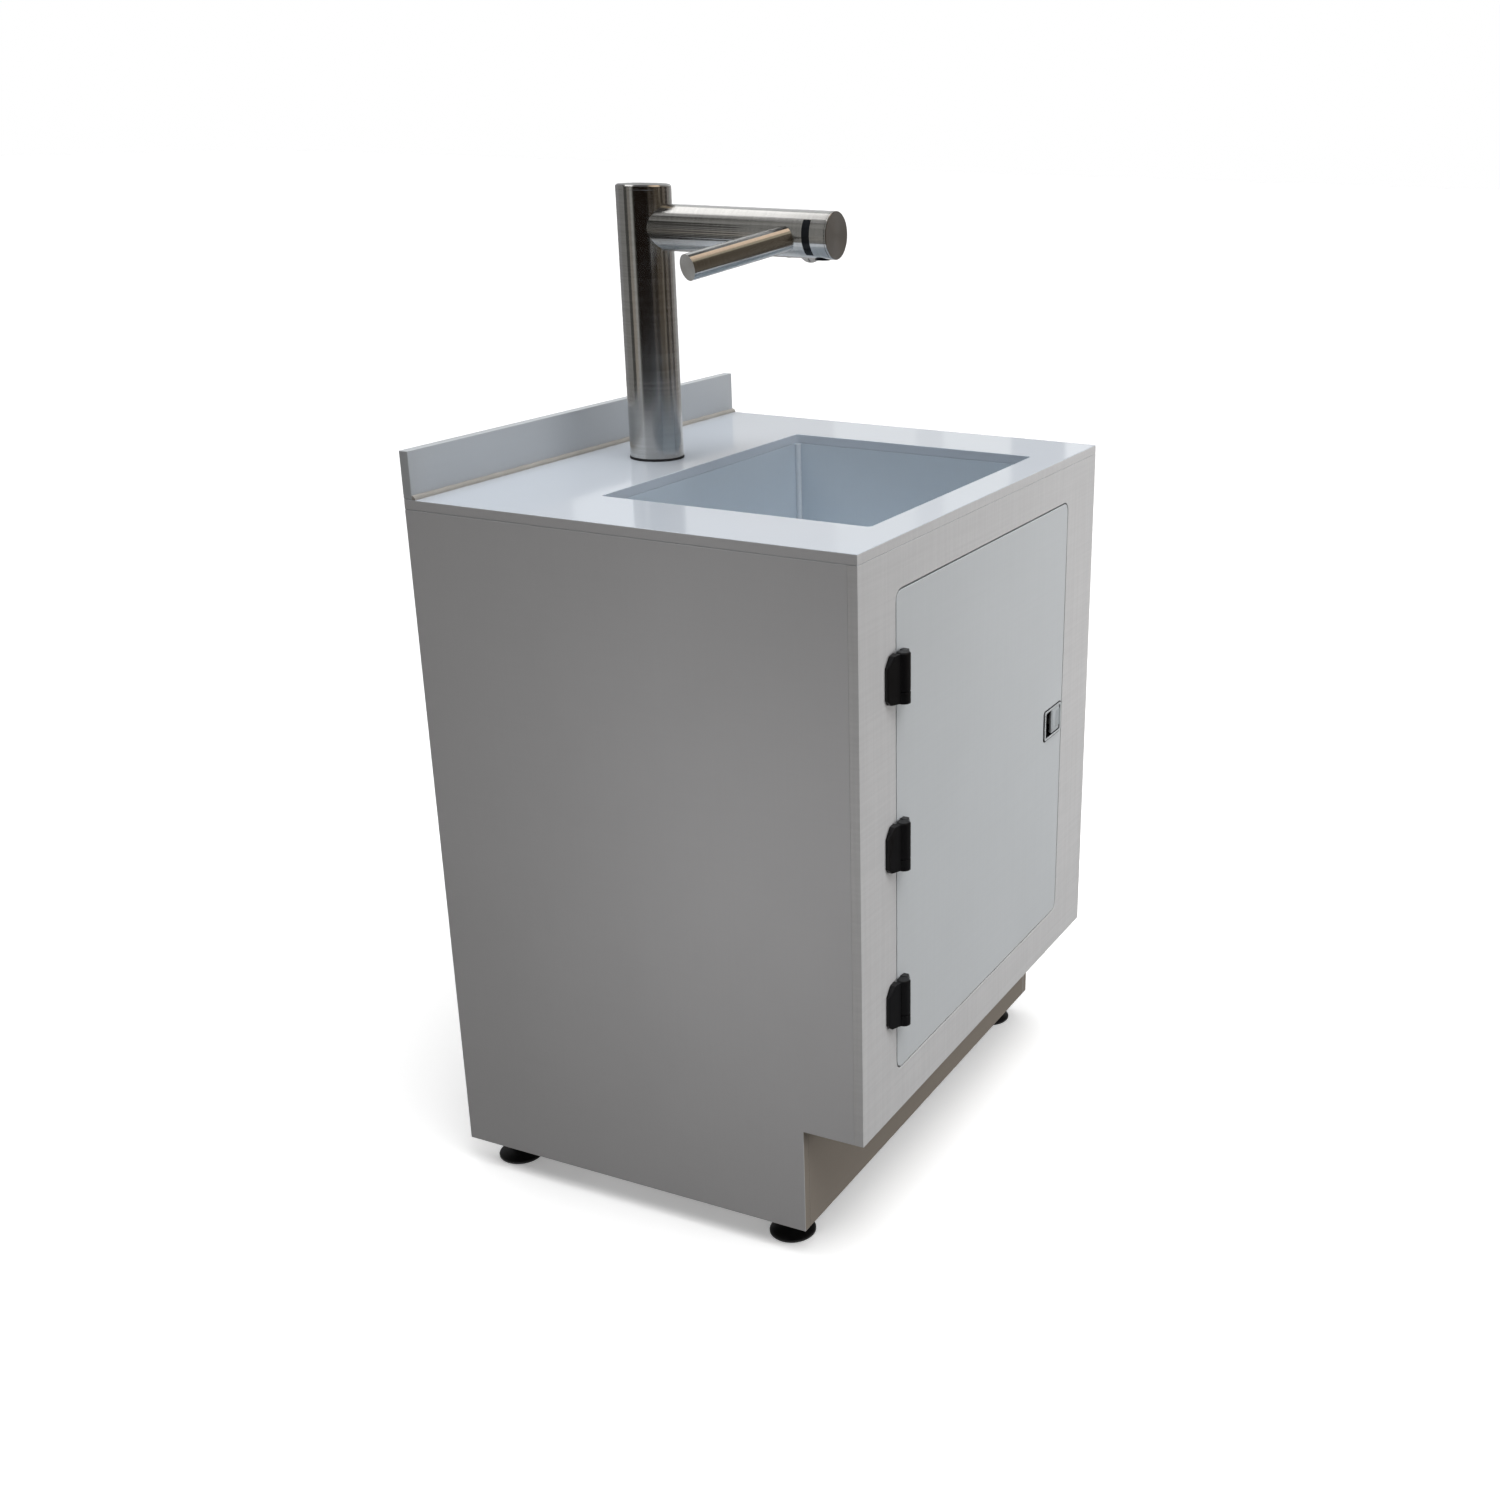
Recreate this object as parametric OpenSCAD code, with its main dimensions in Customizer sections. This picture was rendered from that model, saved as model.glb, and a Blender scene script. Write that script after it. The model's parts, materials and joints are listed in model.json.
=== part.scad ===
// Laboratory sink unit: a welded plastic-sheet cabinet on levelling feet, with an inset door,
// a basin under the worktop and a stainless tap whose spout carries two hand-dryer arms.
// Millimetres, +Z up. The origin is on the floor, in the middle of the whole outline.

/* [Cabinet] */
// Overall width of the cabinet
cab_w = 700; // [680:1:900]
// Depth from the front face to the back edge
cab_d = 580; // [520:1:700]
// Height from the underside of the side panels to the top of the worktop
cab_h = 844; // [800:1:900]
// Thickness of the plastic sheet
sheet_t = 12; // [10:0.5:15]
// Height of the toe space above the side panels' underside
kick_h = 140; // [100:1:160]
// Depth of the toe space behind the front face
kick_depth = 80; // [50:1:100]
// How far the back panel sits in from the back edge
back_inset = 30; // [25:1:40]
// Height of the backsplash above the worktop
splash_h = 55; // [30:1:120]
// Leg of the sealant bead along the foot of the backsplash
bead_size = 5; // [3:0.5:8]

/* [Basin] */
// Width of the basin, wall to wall inside
basin_w = 462; // [400:1:480]
// Depth of the worktop behind the basin
deck_depth = 186; // [175:1:220]
// Depth of the basin below the top of the worktop
basin_depth = 250; // [180:1:270]
// Thickness of the basin's walls
basin_wall = 8; // [6:0.5:10]
// Thickness of the basin's floor at its edges
basin_floor = 12; // [10:0.5:14]
// Fall of the basin's floor towards the drain
basin_fall = 5; // [2:0.5:6]
// Distance from the front face to the basin
basin_front = 46; // [40:1:60]
// Corner radius of the basin
basin_corner = 5; // [3:0.5:12]

/* [Door] */
// Frame width to the left of the door opening
frame_left = 88; // [70:1:110]
// Frame width to the right of the door opening
frame_right = 97; // [80:1:120]
// Height of the frame above the door opening, below the worktop
frame_top = 46; // [40:1:80]
// Height of the frame below the door opening
frame_bottom = 56; // [40:1:80]
// Corner radius of the door opening
opening_corner = 14; // [8:1:25]
// Gap round the door
door_gap = 2; // [1.5:0.1:3]

/* [Hinges] */
// Height of each hinge
hinge_h = 58; // [50:1:70]
// Distance between neighbouring hinges
hinge_pitch = 199; // [150:1:210]
// Width of one leaf from the pivot
leaf_w = 28; // [24:1:34]
// Distance of the pivot in front of the front face
pivot_out = 9; // [8.8:0.1:11]
// Radius of the knuckles
knuckle_r = 8; // [7:0.1:8.4]
// Share of the height that the lower, fixed knuckle takes
knuckle_split = 0.25; // [0.2:0.01:0.4]
// Radius of the hinge pins
hinge_pin_r = 3; // [2:0.1:4]

/* [Latch] */
// Width of the latch bezel
latch_w = 62; // [58:1:72]
// Height of the latch bezel
latch_h = 44; // [40:1:60]
// Width of the bezel's rim
latch_rim = 3.5; // [3:0.1:5]
// How far the bezel stands out of the door
bezel_out = 2; // [1:0.1:3]
// Distance from the bezel to the door's right edge
latch_edge = 3; // [2:0.1:8]
// Depth of the latch case behind the door's front face
case_depth = 26; // [25:0.5:32]
// Depth of the finger recess
recess_depth = 12; // [10:0.5:12]
// Width of the open finger slot beside the slider
slot_w = 18; // [16:0.5:22]
// Travel of the slider
latch_travel = 9; // [7:0.5:12]
// Reach of the bolt behind the frame
bolt_reach = 6; // [4:0.5:7]
// Thickness of the keeper plate
keeper_t = 1.5; // [1:0.1:2]
// Length of the keeper plate behind the frame
keeper_w = 32; // [25:1:50]

/* [Feet] */
// Height of the side panels' underside above the floor
foot_lift = 36; // [34:1:40]
// Radius of a foot's pad
foot_r = 29; // [24:0.5:32]
// Height of a foot's pad
foot_h = 13; // [11:0.5:14]
// Radius of the threaded stems
stem_r = 6; // [5:0.5:8]
// Length of the threaded stems above the pads' floor
stem_l = 90; // [84:1:110]
// Width of the foot blocks
block_w = 60; // [50:1:70]
// Height of the foot blocks
block_h = 36; // [28:1:50]
// Distance from the back edge to the rear feet
foot_back = 46; // [40:1:60]

/* [Tap] */
// Distance from the back edge to the tap's column
tap_back = 111; // [105:1:115]
// Radius of the column
column_r = 33.75; // [32:0.25:36]
// Height of the column above the worktop
column_h = 330; // [300:1:360]
// Radius of the spout
spout_r = 27.3; // [25:0.1:30]
// Depth of the spout's axis below the column's top
spout_drop = 49; // [45:1:60]
// Distance from the column's axis to the spout's end
spout_reach = 264; // [220:1:300]
// Wall thickness of the tap's tubes
tube_t = 2.5; // [2:0.1:3]
// Radius of the dryer arms
arm_r = 15; // [12:0.5:17]
// Length of the dryer arms from the spout's axis
arm_l = 162; // [120:1:180]
// Distance from the spout's end to the arms
arm_root = 47; // [42:1:75]
// How far the arms sweep back, in degrees
arm_sweep = 25; // [0:1:30]
// How far the arms droop, in degrees
arm_droop = 11; // [0:1:20]
// Radius of the tap's shank through the worktop
shank_r = 27; // [26:0.5:29]
// Thickness of the gasket under the column
gasket_t = 3; // [2:0.5:5]

/* [Under the worktop] */
// Length of the shank below the worktop
shank_l = 64; // [50:1:80]
// Length of the air hose
hose_l = 190; // [150:1:220]
// Outer radius of the air hose over its ribs
hose_r = 18; // [16:0.5:19]
// Number of ribs of the air hose
hose_ribs = 24; // [10:1:30]
// Radius of the dryer's motor housing
motor_r = 62; // [50:1:64]
// Height of the dryer's motor housing
motor_h = 210; // [160:1:240]
// Radius of the water hose
water_r = 6.5; // [5:0.5:7.5]
// Bend radius of the water hose
water_bend = 40; // [30:1:45]
// Drop of the water hose from the tap to its level run
water_drop = 116; // [90:1:130]
// Distance of the water inlet from the cabinet's right side
valve_side = 100; // [90:1:120]

/* [Drain] */
// Outer radius of the waste pipe
waste_r = 20; // [16:0.5:22]
// Wall thickness of the waste pipe
waste_t = 2; // [1.5:0.1:3]
// Centre radius of the trap's U-bend
trap_bend_r = 55; // [50:1:65]
// Radius of the drain flange
flange_r = 42; // [38:0.5:50]
// Radius of the drain's neck
neck_r = 30; // [26:0.5:32]
// Length of the waste pipe behind the back panel
waste_stub = 25; // [15:1:25]
// Radius of the water inlet's thread
inlet_r = 10.4; // [8:0.1:10.6]

/* [Fits] */
// Radial clearance of turning fits
run_gap = 0.05; // [0.02:0.01:0.1]
// Clearance of sliding and seated pieces
seat_gap = 0.3; // [0.2:0.05:0.5]
// Radial clearance of pressed pins
press_gap = 0.01; // [0.01:0.005:0.02]

/* [Hidden] */
$fn = 64;
over = 1;

// Places in depth: the outline runs from the knuckles to the back edge
front_y = (pivot_out + knuckle_r - cab_d) / 2;
back_y = front_y + cab_d;
back_face = back_y - back_inset;
back_front = back_face - sheet_t;

// Places in height
top_z = foot_lift + cab_h;
under_top = top_z - sheet_t;
kick_top = foot_lift + kick_h;
base_top = kick_top + sheet_t;
inner_w = cab_w - 2 * sheet_t;

// Basin and drain
basin_l = cab_d - basin_front - deck_depth;
basin_y = front_y + basin_front + basin_l / 2;
basin_low = top_z - basin_depth;
basin_under = basin_low - basin_floor;
flange_t = 2.5;
drain_low = basin_low - basin_fall;

// Door opening
open_left = -cab_w / 2 + frame_left;
open_right = cab_w / 2 - frame_right;
open_low = kick_top + frame_bottom;
open_high = under_top - frame_top;
open_w = open_right - open_left;
open_h = open_high - open_low;
open_x = (open_left + open_right) / 2;
open_z = (open_low + open_high) / 2;
door_right = open_right - door_gap;

// Hinges
pivot_x = open_left + door_gap / 2;
pivot_y = front_y - pivot_out;
hinge_z = [open_z + hinge_pitch, open_z, open_z - hinge_pitch];
leaf_in = knuckle_r + seat_gap + 0.2;
leaf_rise = pivot_out + 0.5;
leaf_taper = 2.5;
fixed_knuckle = knuckle_split * hinge_h;
leaf_corner = 8;
pin_low = 3 - hinge_h / 2;
pin_high = hinge_h / 2 - 6;
knuckle_low = fixed_knuckle - hinge_h / 2;
leaf_edge = 3;

// Latch
latch_x = door_right - latch_edge - latch_w / 2;
case_w = latch_w - 2 * latch_rim + 2 * 1.5;
case_h = latch_h - 2 * latch_rim + 2 * 1.5;
case_wall = 1.5;
cup_w = case_w - 2 * case_wall;
cup_h = case_h - 2 * case_wall;
slider_w = cup_w - slot_w - seat_gap;
slider_h = cup_h - 2 * seat_gap;
slider_t = 3;
slider_out = 0.5;
cup_corner = 2;
lip_w = 3;
lip_out = slider_out + 0.7;
slider_right = cup_w / 2 - seat_gap;
slider_left = slider_right - slider_w;
neck_w = 12;
neck_h = 11;
neck_left = slider_right - 2 * neck_w;
bolt_y = sheet_t + keeper_t + seat_gap;
bolt_t = 8;
bolt_h = 16;
bolt_left = neck_left - neck_w / 2;
bolt_right = open_right + bolt_reach - latch_x;
channel_h = bolt_h + 2 * seat_gap;
channel_left = -cup_w / 2;
spring_r = 3;
spring_wire = 0.9;
spring_turns = 7;
spring_sides = 6;
spring_steps = 8;

// Feet
foot_x = cab_w / 2 - sheet_t - block_w / 2;
foot_front_y = front_y + kick_depth + sheet_t + block_w / 2;
foot_back_y = back_y - foot_back;
foot_spots = [[-foot_x, foot_front_y], [foot_x, foot_front_y],
    [-foot_x, foot_back_y], [foot_x, foot_back_y]];
nut_af = 2 * stem_r + 7;
nut_h = 8;
nut_low = foot_lift + 2;
block_low = nut_low + nut_h;
socket_h = 8;
hex_h = 7;

// Tap
tap_y = back_y - tap_back;
spout_z = top_z + column_h - spout_drop;
spout_end = tap_y - spout_reach;
column_low = top_z + gasket_t;
cap_h = 6;
cap_chamfer = 2;
disc_t = 3;
hole_clear = 0.3;
shank_low = under_top - shank_l;
shank_wall = 3;
head_h = 5;
plate_r = 45;
plate_t = 4;
clamp_h = 10;
window_w = 10;
window_from = 22;
window_up = 40;
window_down = 55;
window_out = 0.2;
aerator_r = 9;
aerator_back = 19;
aerator_out = 1;
dot_r = 2.5;
dot_back = 64;

// Dryer motor and its hose
air_x = -10;
spigot_r = 14.8;
hose_bore = spigot_r + 0.2;
spigot_l = 20;
hose_high = shank_low - seat_gap;
motor_spigot_top = hose_high - hose_l + spigot_l;
motor_lid = motor_spigot_top - spigot_l - 2;
motor_low = motor_lid - motor_h;
band_h = 30;
band_t = 2.5;

// Water hose, from the tap's tail to the valve
tail_x = 18;
tail_r = 5;
tail_bore = tail_r - 2;
tail_af = 14;
nut_grip = 12;
nut_end = 4;
tail_low = shank_low - 24;
hose_top = tail_low - nut_end;
run_z = hose_top - water_drop;

// Drain: the neck below the basin, the cup that takes it, the trap and the pipe to the back
neck_l = 24;
waste_cup_r = neck_r + 6;
waste_cup_h = 16;
cup_cone = 14;
cup_seat = 12;
ring_h = 14;
ring_r = waste_cup_r + 3;
tail_l = 86;
bend_top = basin_under - ring_h - waste_cup_h - cup_cone - tail_l;
trap_neck = 15;
elbow_r = 45;
outlet_z = bend_top + elbow_r;
elbow_end = basin_y + elbow_r + trap_neck;
trap_x = 2 * trap_bend_r;
slip_r = waste_r + 6;
slip_h = 18;

// Service opening round the waste pipe
cut_w = 140;
cut_h = 110;
cut_corner = 15;
cut_x = trap_x + 20;

// Angle valve on the back panel
valve_x = cab_w / 2 - valve_side;
body_r = 12;
bonnet_r = 10;
bonnet_l = 20;
valve_front = tap_y - body_r - 2;
bonnet_end = valve_front - bonnet_l;
shoulder_r = 9;
shoulder_h = 24;
outlet_r = 6;
outlet_l = 16;
outlet_af = 18;
outlet_end = 8;
outlet_top = outlet_z + shoulder_h + outlet_l;
hose_foot = outlet_top + outlet_end;
thread_r = inlet_r + 0.4;
inlet_wall = 3.4;
flange_af = 34;
flange_l = 4;
inlet_nut_af = 30;
inlet_nut_h = 7;
thread_l = sheet_t + inlet_nut_h + 1;
inlet_free = back_inset - inlet_nut_h - 7;
valve_stem_r = 4;
stem_in = 15;
outlet_grip = 8;

// Rounded rectangle about the origin
module rrect(w, h, r) {
    square([w - 2 * r, h], center = true);
    square([w, h - 2 * r], center = true);
    for (x = [-1, 1], y = [-1, 1])
        translate([x * (w / 2 - r), y * (h / 2 - r)])
            circle(r);
}

// An outline in X and Z, extruded backwards from y
module front_plate(y, t) {
    translate([0, y + t, 0])
        rotate([90, 0, 0])
            linear_extrude(t)
                children();
}

// An outline in Y and Z, extruded to the right from x
module side_plate(x, t) {
    translate([x, 0, 0])
        rotate([90, 0, 90])
            linear_extrude(t)
                children();
}

// Cylinder along +Y from y
module along_y(r, y, l) {
    translate([0, y, 0])
        rotate([-90, 0, 0])
            cylinder(r = r, h = l);
}

// Hexagonal prism of a given width across its flats
module hexagon(af, h) {
    cylinder(r = af / sqrt(3), h = h, $fn = 6);
}

// Quarter or half bend of a tube about the Z axis
module tube_bend(bend, r, bore, angle) {
    rotate_extrude(angle = angle)
        translate([bend, 0])
            difference() {
                circle(r);
                circle(bore);
            }
}

// Straight tube along Z
module tube(r, bore, h) {
    difference() {
        cylinder(r = r, h = h);
        translate([0, 0, -over])
            cylinder(r = bore, h = h + 2 * over);
    }
}

module worktop() {
    color("gainsboro")
        difference() {
            translate([-cab_w / 2, front_y, under_top])
                cube([cab_w, cab_d, sheet_t]);
            translate([0, basin_y, under_top - over])
                linear_extrude(sheet_t + 2 * over)
                    rrect(basin_w, basin_l, basin_corner);
            translate([0, tap_y, under_top - over])
                cylinder(r = shank_r + hole_clear, h = sheet_t + 2 * over);
        }
}

module backsplash() {
    color("silver")
        translate([-cab_w / 2, back_y - sheet_t, top_z])
            cube([cab_w, sheet_t, splash_h]);
}

module backsplash_bead() {
    color("tan")
        side_plate(-cab_w / 2, cab_w)
            translate([back_y - sheet_t, top_z])
                polygon([[0, 0], [-bead_size, 0], [-bead_size * 0.4, bead_size * 0.4],
                    [0, bead_size]]);
}

module side_panel(x) {
    color("gainsboro")
        side_plate(x, sheet_t)
            polygon([[front_y + sheet_t, kick_top], [front_y + kick_depth, kick_top],
                [front_y + kick_depth, foot_lift], [back_y, foot_lift], [back_y, under_top],
                [front_y + sheet_t, under_top]]);
}

module side_panel_left() {
    side_panel(-cab_w / 2);
}

module side_panel_right() {
    side_panel(cab_w / 2 - sheet_t);
}

module back_panel() {
    color("gainsboro")
        difference() {
            translate([-inner_w / 2, back_front, base_top])
                cube([inner_w, sheet_t, under_top - base_top]);
            front_plate(back_front - over, sheet_t + 2 * over)
                translate([cut_x, outlet_z])
                    rrect(cut_w, cut_h, cut_corner);
            translate([valve_x, 0, outlet_z])
                along_y(thread_r + seat_gap, back_front - over, sheet_t + 2 * over);
        }
}

module base_panel() {
    color("gainsboro")
        translate([-inner_w / 2, front_y + sheet_t, kick_top])
            cube([inner_w, back_face - front_y - sheet_t, sheet_t]);
}

module front_frame() {
    color("whitesmoke")
        difference() {
            translate([-cab_w / 2, front_y, kick_top])
                cube([cab_w, sheet_t, under_top - kick_top]);
            front_plate(front_y - over, sheet_t + 2 * over)
                translate([open_x, open_z])
                    rrect(open_w, open_h, opening_corner);
        }
}

module toe_kick() {
    color("darkgray")
        translate([-inner_w / 2, front_y + kick_depth, foot_lift])
            cube([inner_w, sheet_t, kick_h]);
}

// Hollow under the basin's level floor that falls on four sides to a flat round the drain
module basin_slopes() {
    flat = flange_r + 2;
    intersection() {
        front_plate(basin_y - basin_l / 2, basin_l)
            fall_outline(basin_w / 2 - basin_corner, flat);
        side_plate(-basin_w / 2, basin_w)
            translate([basin_y, 0])
                fall_outline(basin_l / 2 - basin_corner, flat);
    }
}

module fall_outline(rim, flat) {
    polygon([[-rim, basin_low], [-flat, drain_low], [flat, drain_low], [rim, basin_low]]);
}

module basin() {
    color("lightsteelblue")
        difference() {
            translate([0, basin_y, basin_under])
                linear_extrude(under_top - basin_under)
                    rrect(basin_w + 2 * basin_wall, basin_l + 2 * basin_wall,
                        basin_corner + basin_wall);
            translate([0, basin_y, basin_low])
                linear_extrude(under_top - basin_low + over)
                    rrect(basin_w, basin_l, basin_corner);
            basin_slopes();
            translate([0, basin_y, basin_under - over])
                cylinder(r = neck_r + seat_gap, h = basin_floor + over);
        }
}

module foot_blocks() {
    color("gray")
        for (spot = foot_spots)
            translate([spot[0], spot[1], block_low])
                difference() {
                    translate([-block_w / 2, -block_w / 2, 0])
                        cube([block_w, block_w, block_h]);
                    translate([0, 0, -over])
                        cylinder(r = stem_r + run_gap, h = block_h + 2 * over);
                }
}

module foot_lock_nuts() {
    color("lightgray")
        for (spot = foot_spots)
            translate([spot[0], spot[1], nut_low])
                difference() {
                    hexagon(nut_af, nut_h);
                    translate([0, 0, -over])
                        cylinder(r = stem_r + run_gap, h = nut_h + 2 * over);
                }
}

module latch_keeper() {
    hole_r = 2.2;
    keeper_h = 3 * bolt_h;
    color("silver")
        front_plate(front_y + sheet_t, keeper_t)
            translate([open_right + keeper_w / 2, open_z])
                difference() {
                    rrect(keeper_w, keeper_h, 3);
                    for (side = [-1, 1])
                        translate([keeper_w / 4, side * keeper_h / 3])
                            circle(hole_r);
                }
}

// A hinge leaf to the right of the pivot, without its knuckle
module leaf_plate() {
    plan = [[leaf_in, pivot_out], [leaf_w, pivot_out], [leaf_w, pivot_out - leaf_edge],
        [leaf_w - leaf_edge, pivot_out - 1.6 * leaf_edge],
        [leaf_in + 6, pivot_out - leaf_rise + 1.5], [leaf_in, pivot_out - leaf_rise]];
    intersection() {
        translate([0, 0, -hinge_h / 2])
            linear_extrude(hinge_h)
                polygon(plan);
        rotate([90, 0, 0])
            linear_extrude(4 * pivot_out, center = true)
                intersection() {
                    rrect(2 * leaf_w, hinge_h, leaf_corner);
                    polygon([[0, -hinge_h / 2], [leaf_w, leaf_taper - hinge_h / 2],
                        [leaf_w, hinge_h / 2 - leaf_taper], [0, hinge_h / 2]]);
                }
    }
}

// A knuckle with the web that carries it, between two heights
module leaf_knuckle(low, high, bore_r, bore_low, bore_high) {
    chamfer = 1.5;
    web_y = 2;
    difference() {
        union() {
            translate([0, 0, low])
                cylinder(r = knuckle_r, h = high - low - chamfer);
            translate([0, 0, high - chamfer])
                cylinder(r1 = knuckle_r, r2 = knuckle_r - chamfer, h = chamfer);
            translate([0, web_y, low])
                cube([leaf_in + 0.5, pivot_out - web_y - seat_gap, high - low - chamfer]);
        }
        translate([0, 0, bore_low])
            cylinder(r = bore_r, h = bore_high - bore_low);
    }
}

module hinge_frame_leaf(z) {
    color("#1c1c1e")
        translate([pivot_x, pivot_y, z])
            mirror([1, 0, 0]) {
                leaf_plate();
                leaf_knuckle(-hinge_h / 2, knuckle_low - seat_gap, hinge_pin_r + press_gap, pin_low,
                    knuckle_low + over);
            }
}

module hinge_door_leaf(z) {
    color("#1c1c1e")
        translate([pivot_x, pivot_y, z]) {
            leaf_plate();
            leaf_knuckle(knuckle_low, hinge_h / 2, hinge_pin_r + run_gap,
                knuckle_low - over, pin_high + seat_gap);
        }
}

module hinge_frame_leaf_top() {
    hinge_frame_leaf(hinge_z[0]);
}

module hinge_frame_leaf_middle() {
    hinge_frame_leaf(hinge_z[1]);
}

module hinge_frame_leaf_bottom() {
    hinge_frame_leaf(hinge_z[2]);
}

module hinge_door_leaf_top() {
    hinge_door_leaf(hinge_z[0]);
}

module hinge_door_leaf_middle() {
    hinge_door_leaf(hinge_z[1]);
}

module hinge_door_leaf_bottom() {
    hinge_door_leaf(hinge_z[2]);
}

module hinge_pins() {
    color("silver")
        for (z = hinge_z)
            translate([pivot_x, pivot_y, z + pin_low])
                cylinder(r = hinge_pin_r, h = pin_high - pin_low);
}

// A ring of the spout's wall on each side, where the sensor windows sit
module window_bands(inner, outer) {
    for (side = [0, 1])
        mirror([side, 0, 0])
            translate([0, spout_end + window_from + window_w, spout_z])
                rotate([90, 0, 0])
                    rotate([0, 0, -window_down])
                        rotate_extrude(angle = window_up + window_down)
                            translate([inner, 0])
                                square([outer - inner, window_w]);
}

module tap_column() {
    color("silver")
        difference() {
            translate([0, tap_y, column_low])
                tube(column_r, column_r - tube_t, column_h - gasket_t - cap_h);
            translate([0, 0, spout_z])
                along_y(spout_r - tube_t, tap_y - column_r - over, column_r + over);
        }
}

module tap_cap() {
    color("silver")
        translate([0, tap_y, top_z + column_h - cap_h]) {
            cylinder(r = column_r, h = cap_h - cap_chamfer);
            translate([0, 0, cap_h - cap_chamfer])
                cylinder(r1 = column_r, r2 = column_r - cap_chamfer, h = cap_chamfer);
            translate([0, 0, -cap_h])
                cylinder(r = column_r - tube_t - seat_gap, h = cap_h);
        }
}

module tap_gasket() {
    color("#303030")
        translate([0, tap_y, top_z])
            tube(column_r + 0.5, shank_r + hole_clear, gasket_t);
}

module tap_spout() {
    color("silver")
        difference() {
            translate([0, 0, spout_z])
                along_y(spout_r, spout_end + disc_t, spout_reach - disc_t);
            translate([0, 0, spout_z])
                along_y(spout_r - tube_t, spout_end, spout_reach + over);
            translate([0, tap_y, spout_z - 2 * spout_r])
                cylinder(r = column_r, h = 4 * spout_r);
            window_bands(spout_r - tube_t - over, spout_r + over);
            translate([0, spout_end + aerator_back, spout_z - spout_r - over])
                cylinder(r = aerator_r, h = spout_r);
            translate([0, spout_end + dot_back, spout_z - spout_r - over])
                cylinder(r = dot_r, h = spout_r);
        }
}

module spout_end_disc() {
    color("lightgray")
        translate([0, 0, spout_z]) {
            along_y(spout_r, spout_end, disc_t);
            along_y(spout_r - tube_t - seat_gap, spout_end + disc_t, disc_t);
        }
}

// One dryer arm, turned about the vertical by a given angle
module dryer_arm(turn) {
    slit_l = arm_l - spout_r - 26;
    slit_w = 1.5;
    slit_from = 12;
    color("silver")
        difference() {
            translate([0, spout_end + arm_root, spout_z])
                rotate([0, 0, turn])
                    rotate([0, 90 + arm_droop, 0])
                        difference() {
                            cylinder(r = arm_r, h = arm_l);
                            cylinder(r = arm_r - tube_t, h = arm_l - disc_t);
                            translate([arm_r - tube_t - over, -slit_w / 2,
                                arm_l - slit_from - slit_l])
                                cube([tube_t + 2 * over, slit_w, slit_l]);
                        }
            translate([0, 0, spout_z])
                along_y(spout_r, spout_end, spout_reach);
        }
}

module dryer_arm_left() {
    dryer_arm(180 - arm_sweep);
}

module dryer_arm_right() {
    dryer_arm(arm_sweep);
}

module sensor_windows() {
    color("#101012") {
        window_bands(spout_r - tube_t, spout_r + window_out);
        translate([0, spout_end + dot_back, spout_z - spout_r - window_out])
            cylinder(r = dot_r, h = tube_t + window_out);
    }
}

module aerator() {
    color("#303030")
        translate([0, spout_end + aerator_back, spout_z - spout_r - aerator_out])
            tube(aerator_r, aerator_r - 3, aerator_r - aerator_out);
}

module tap_shank() {
    color("darkgray")
        translate([0, tap_y, 0])
            difference() {
                union() {
                    translate([0, 0, shank_low])
                        cylinder(r = shank_r, h = column_low - shank_low);
                    translate([0, 0, column_low])
                        cylinder(r = column_r - tube_t - seat_gap, h = head_h);
                    translate([air_x, 0, shank_low - spigot_l])
                        cylinder(r = spigot_r, h = spigot_l);
                    translate([tail_x, 0, tail_low])
                        cylinder(r = tail_r, h = shank_low - tail_low);
                }
                translate([0, 0, shank_low + shank_wall])
                    cylinder(r = shank_r - shank_wall, h = column_low + head_h - shank_low);
                translate([air_x, 0, shank_low - spigot_l - over])
                    cylinder(r = spigot_r - 2, h = spigot_l + shank_wall + 2 * over);
                translate([tail_x, 0, tail_low - over])
                    cylinder(r = tail_bore, h = shank_low + shank_wall - tail_low + 2 * over);
            }
}

module tap_clamp_plate() {
    color("silver")
        translate([0, tap_y, under_top - plate_t])
            tube(plate_r, shank_r + seat_gap, plate_t);
}

module tap_clamp_nut() {
    color("gray")
        translate([0, tap_y, under_top - plate_t - clamp_h])
            difference() {
                hexagon(2 * shank_r + 16, clamp_h);
                translate([0, 0, -over])
                    cylinder(r = shank_r + run_gap, h = clamp_h + 2 * over);
            }
}

// Half outline of the ribbed hose, up its outside
function rib_outline(n) =
    let (step = hose_l / n, root = hose_r - 2)
        [for (i = [0 : n - 1])
            each [[root, i * step], [hose_r, (i + 0.25) * step], [hose_r, (i + 0.6) * step],
                [root, (i + 0.85) * step]]];

module air_hose() {
    color("dimgray")
        translate([air_x, tap_y, hose_high - hose_l])
            rotate_extrude()
                polygon(concat([[hose_bore, 0]], rib_outline(hose_ribs),
                    [[hose_r - 2, hose_l], [hose_bore, hose_l]]));
}

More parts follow.
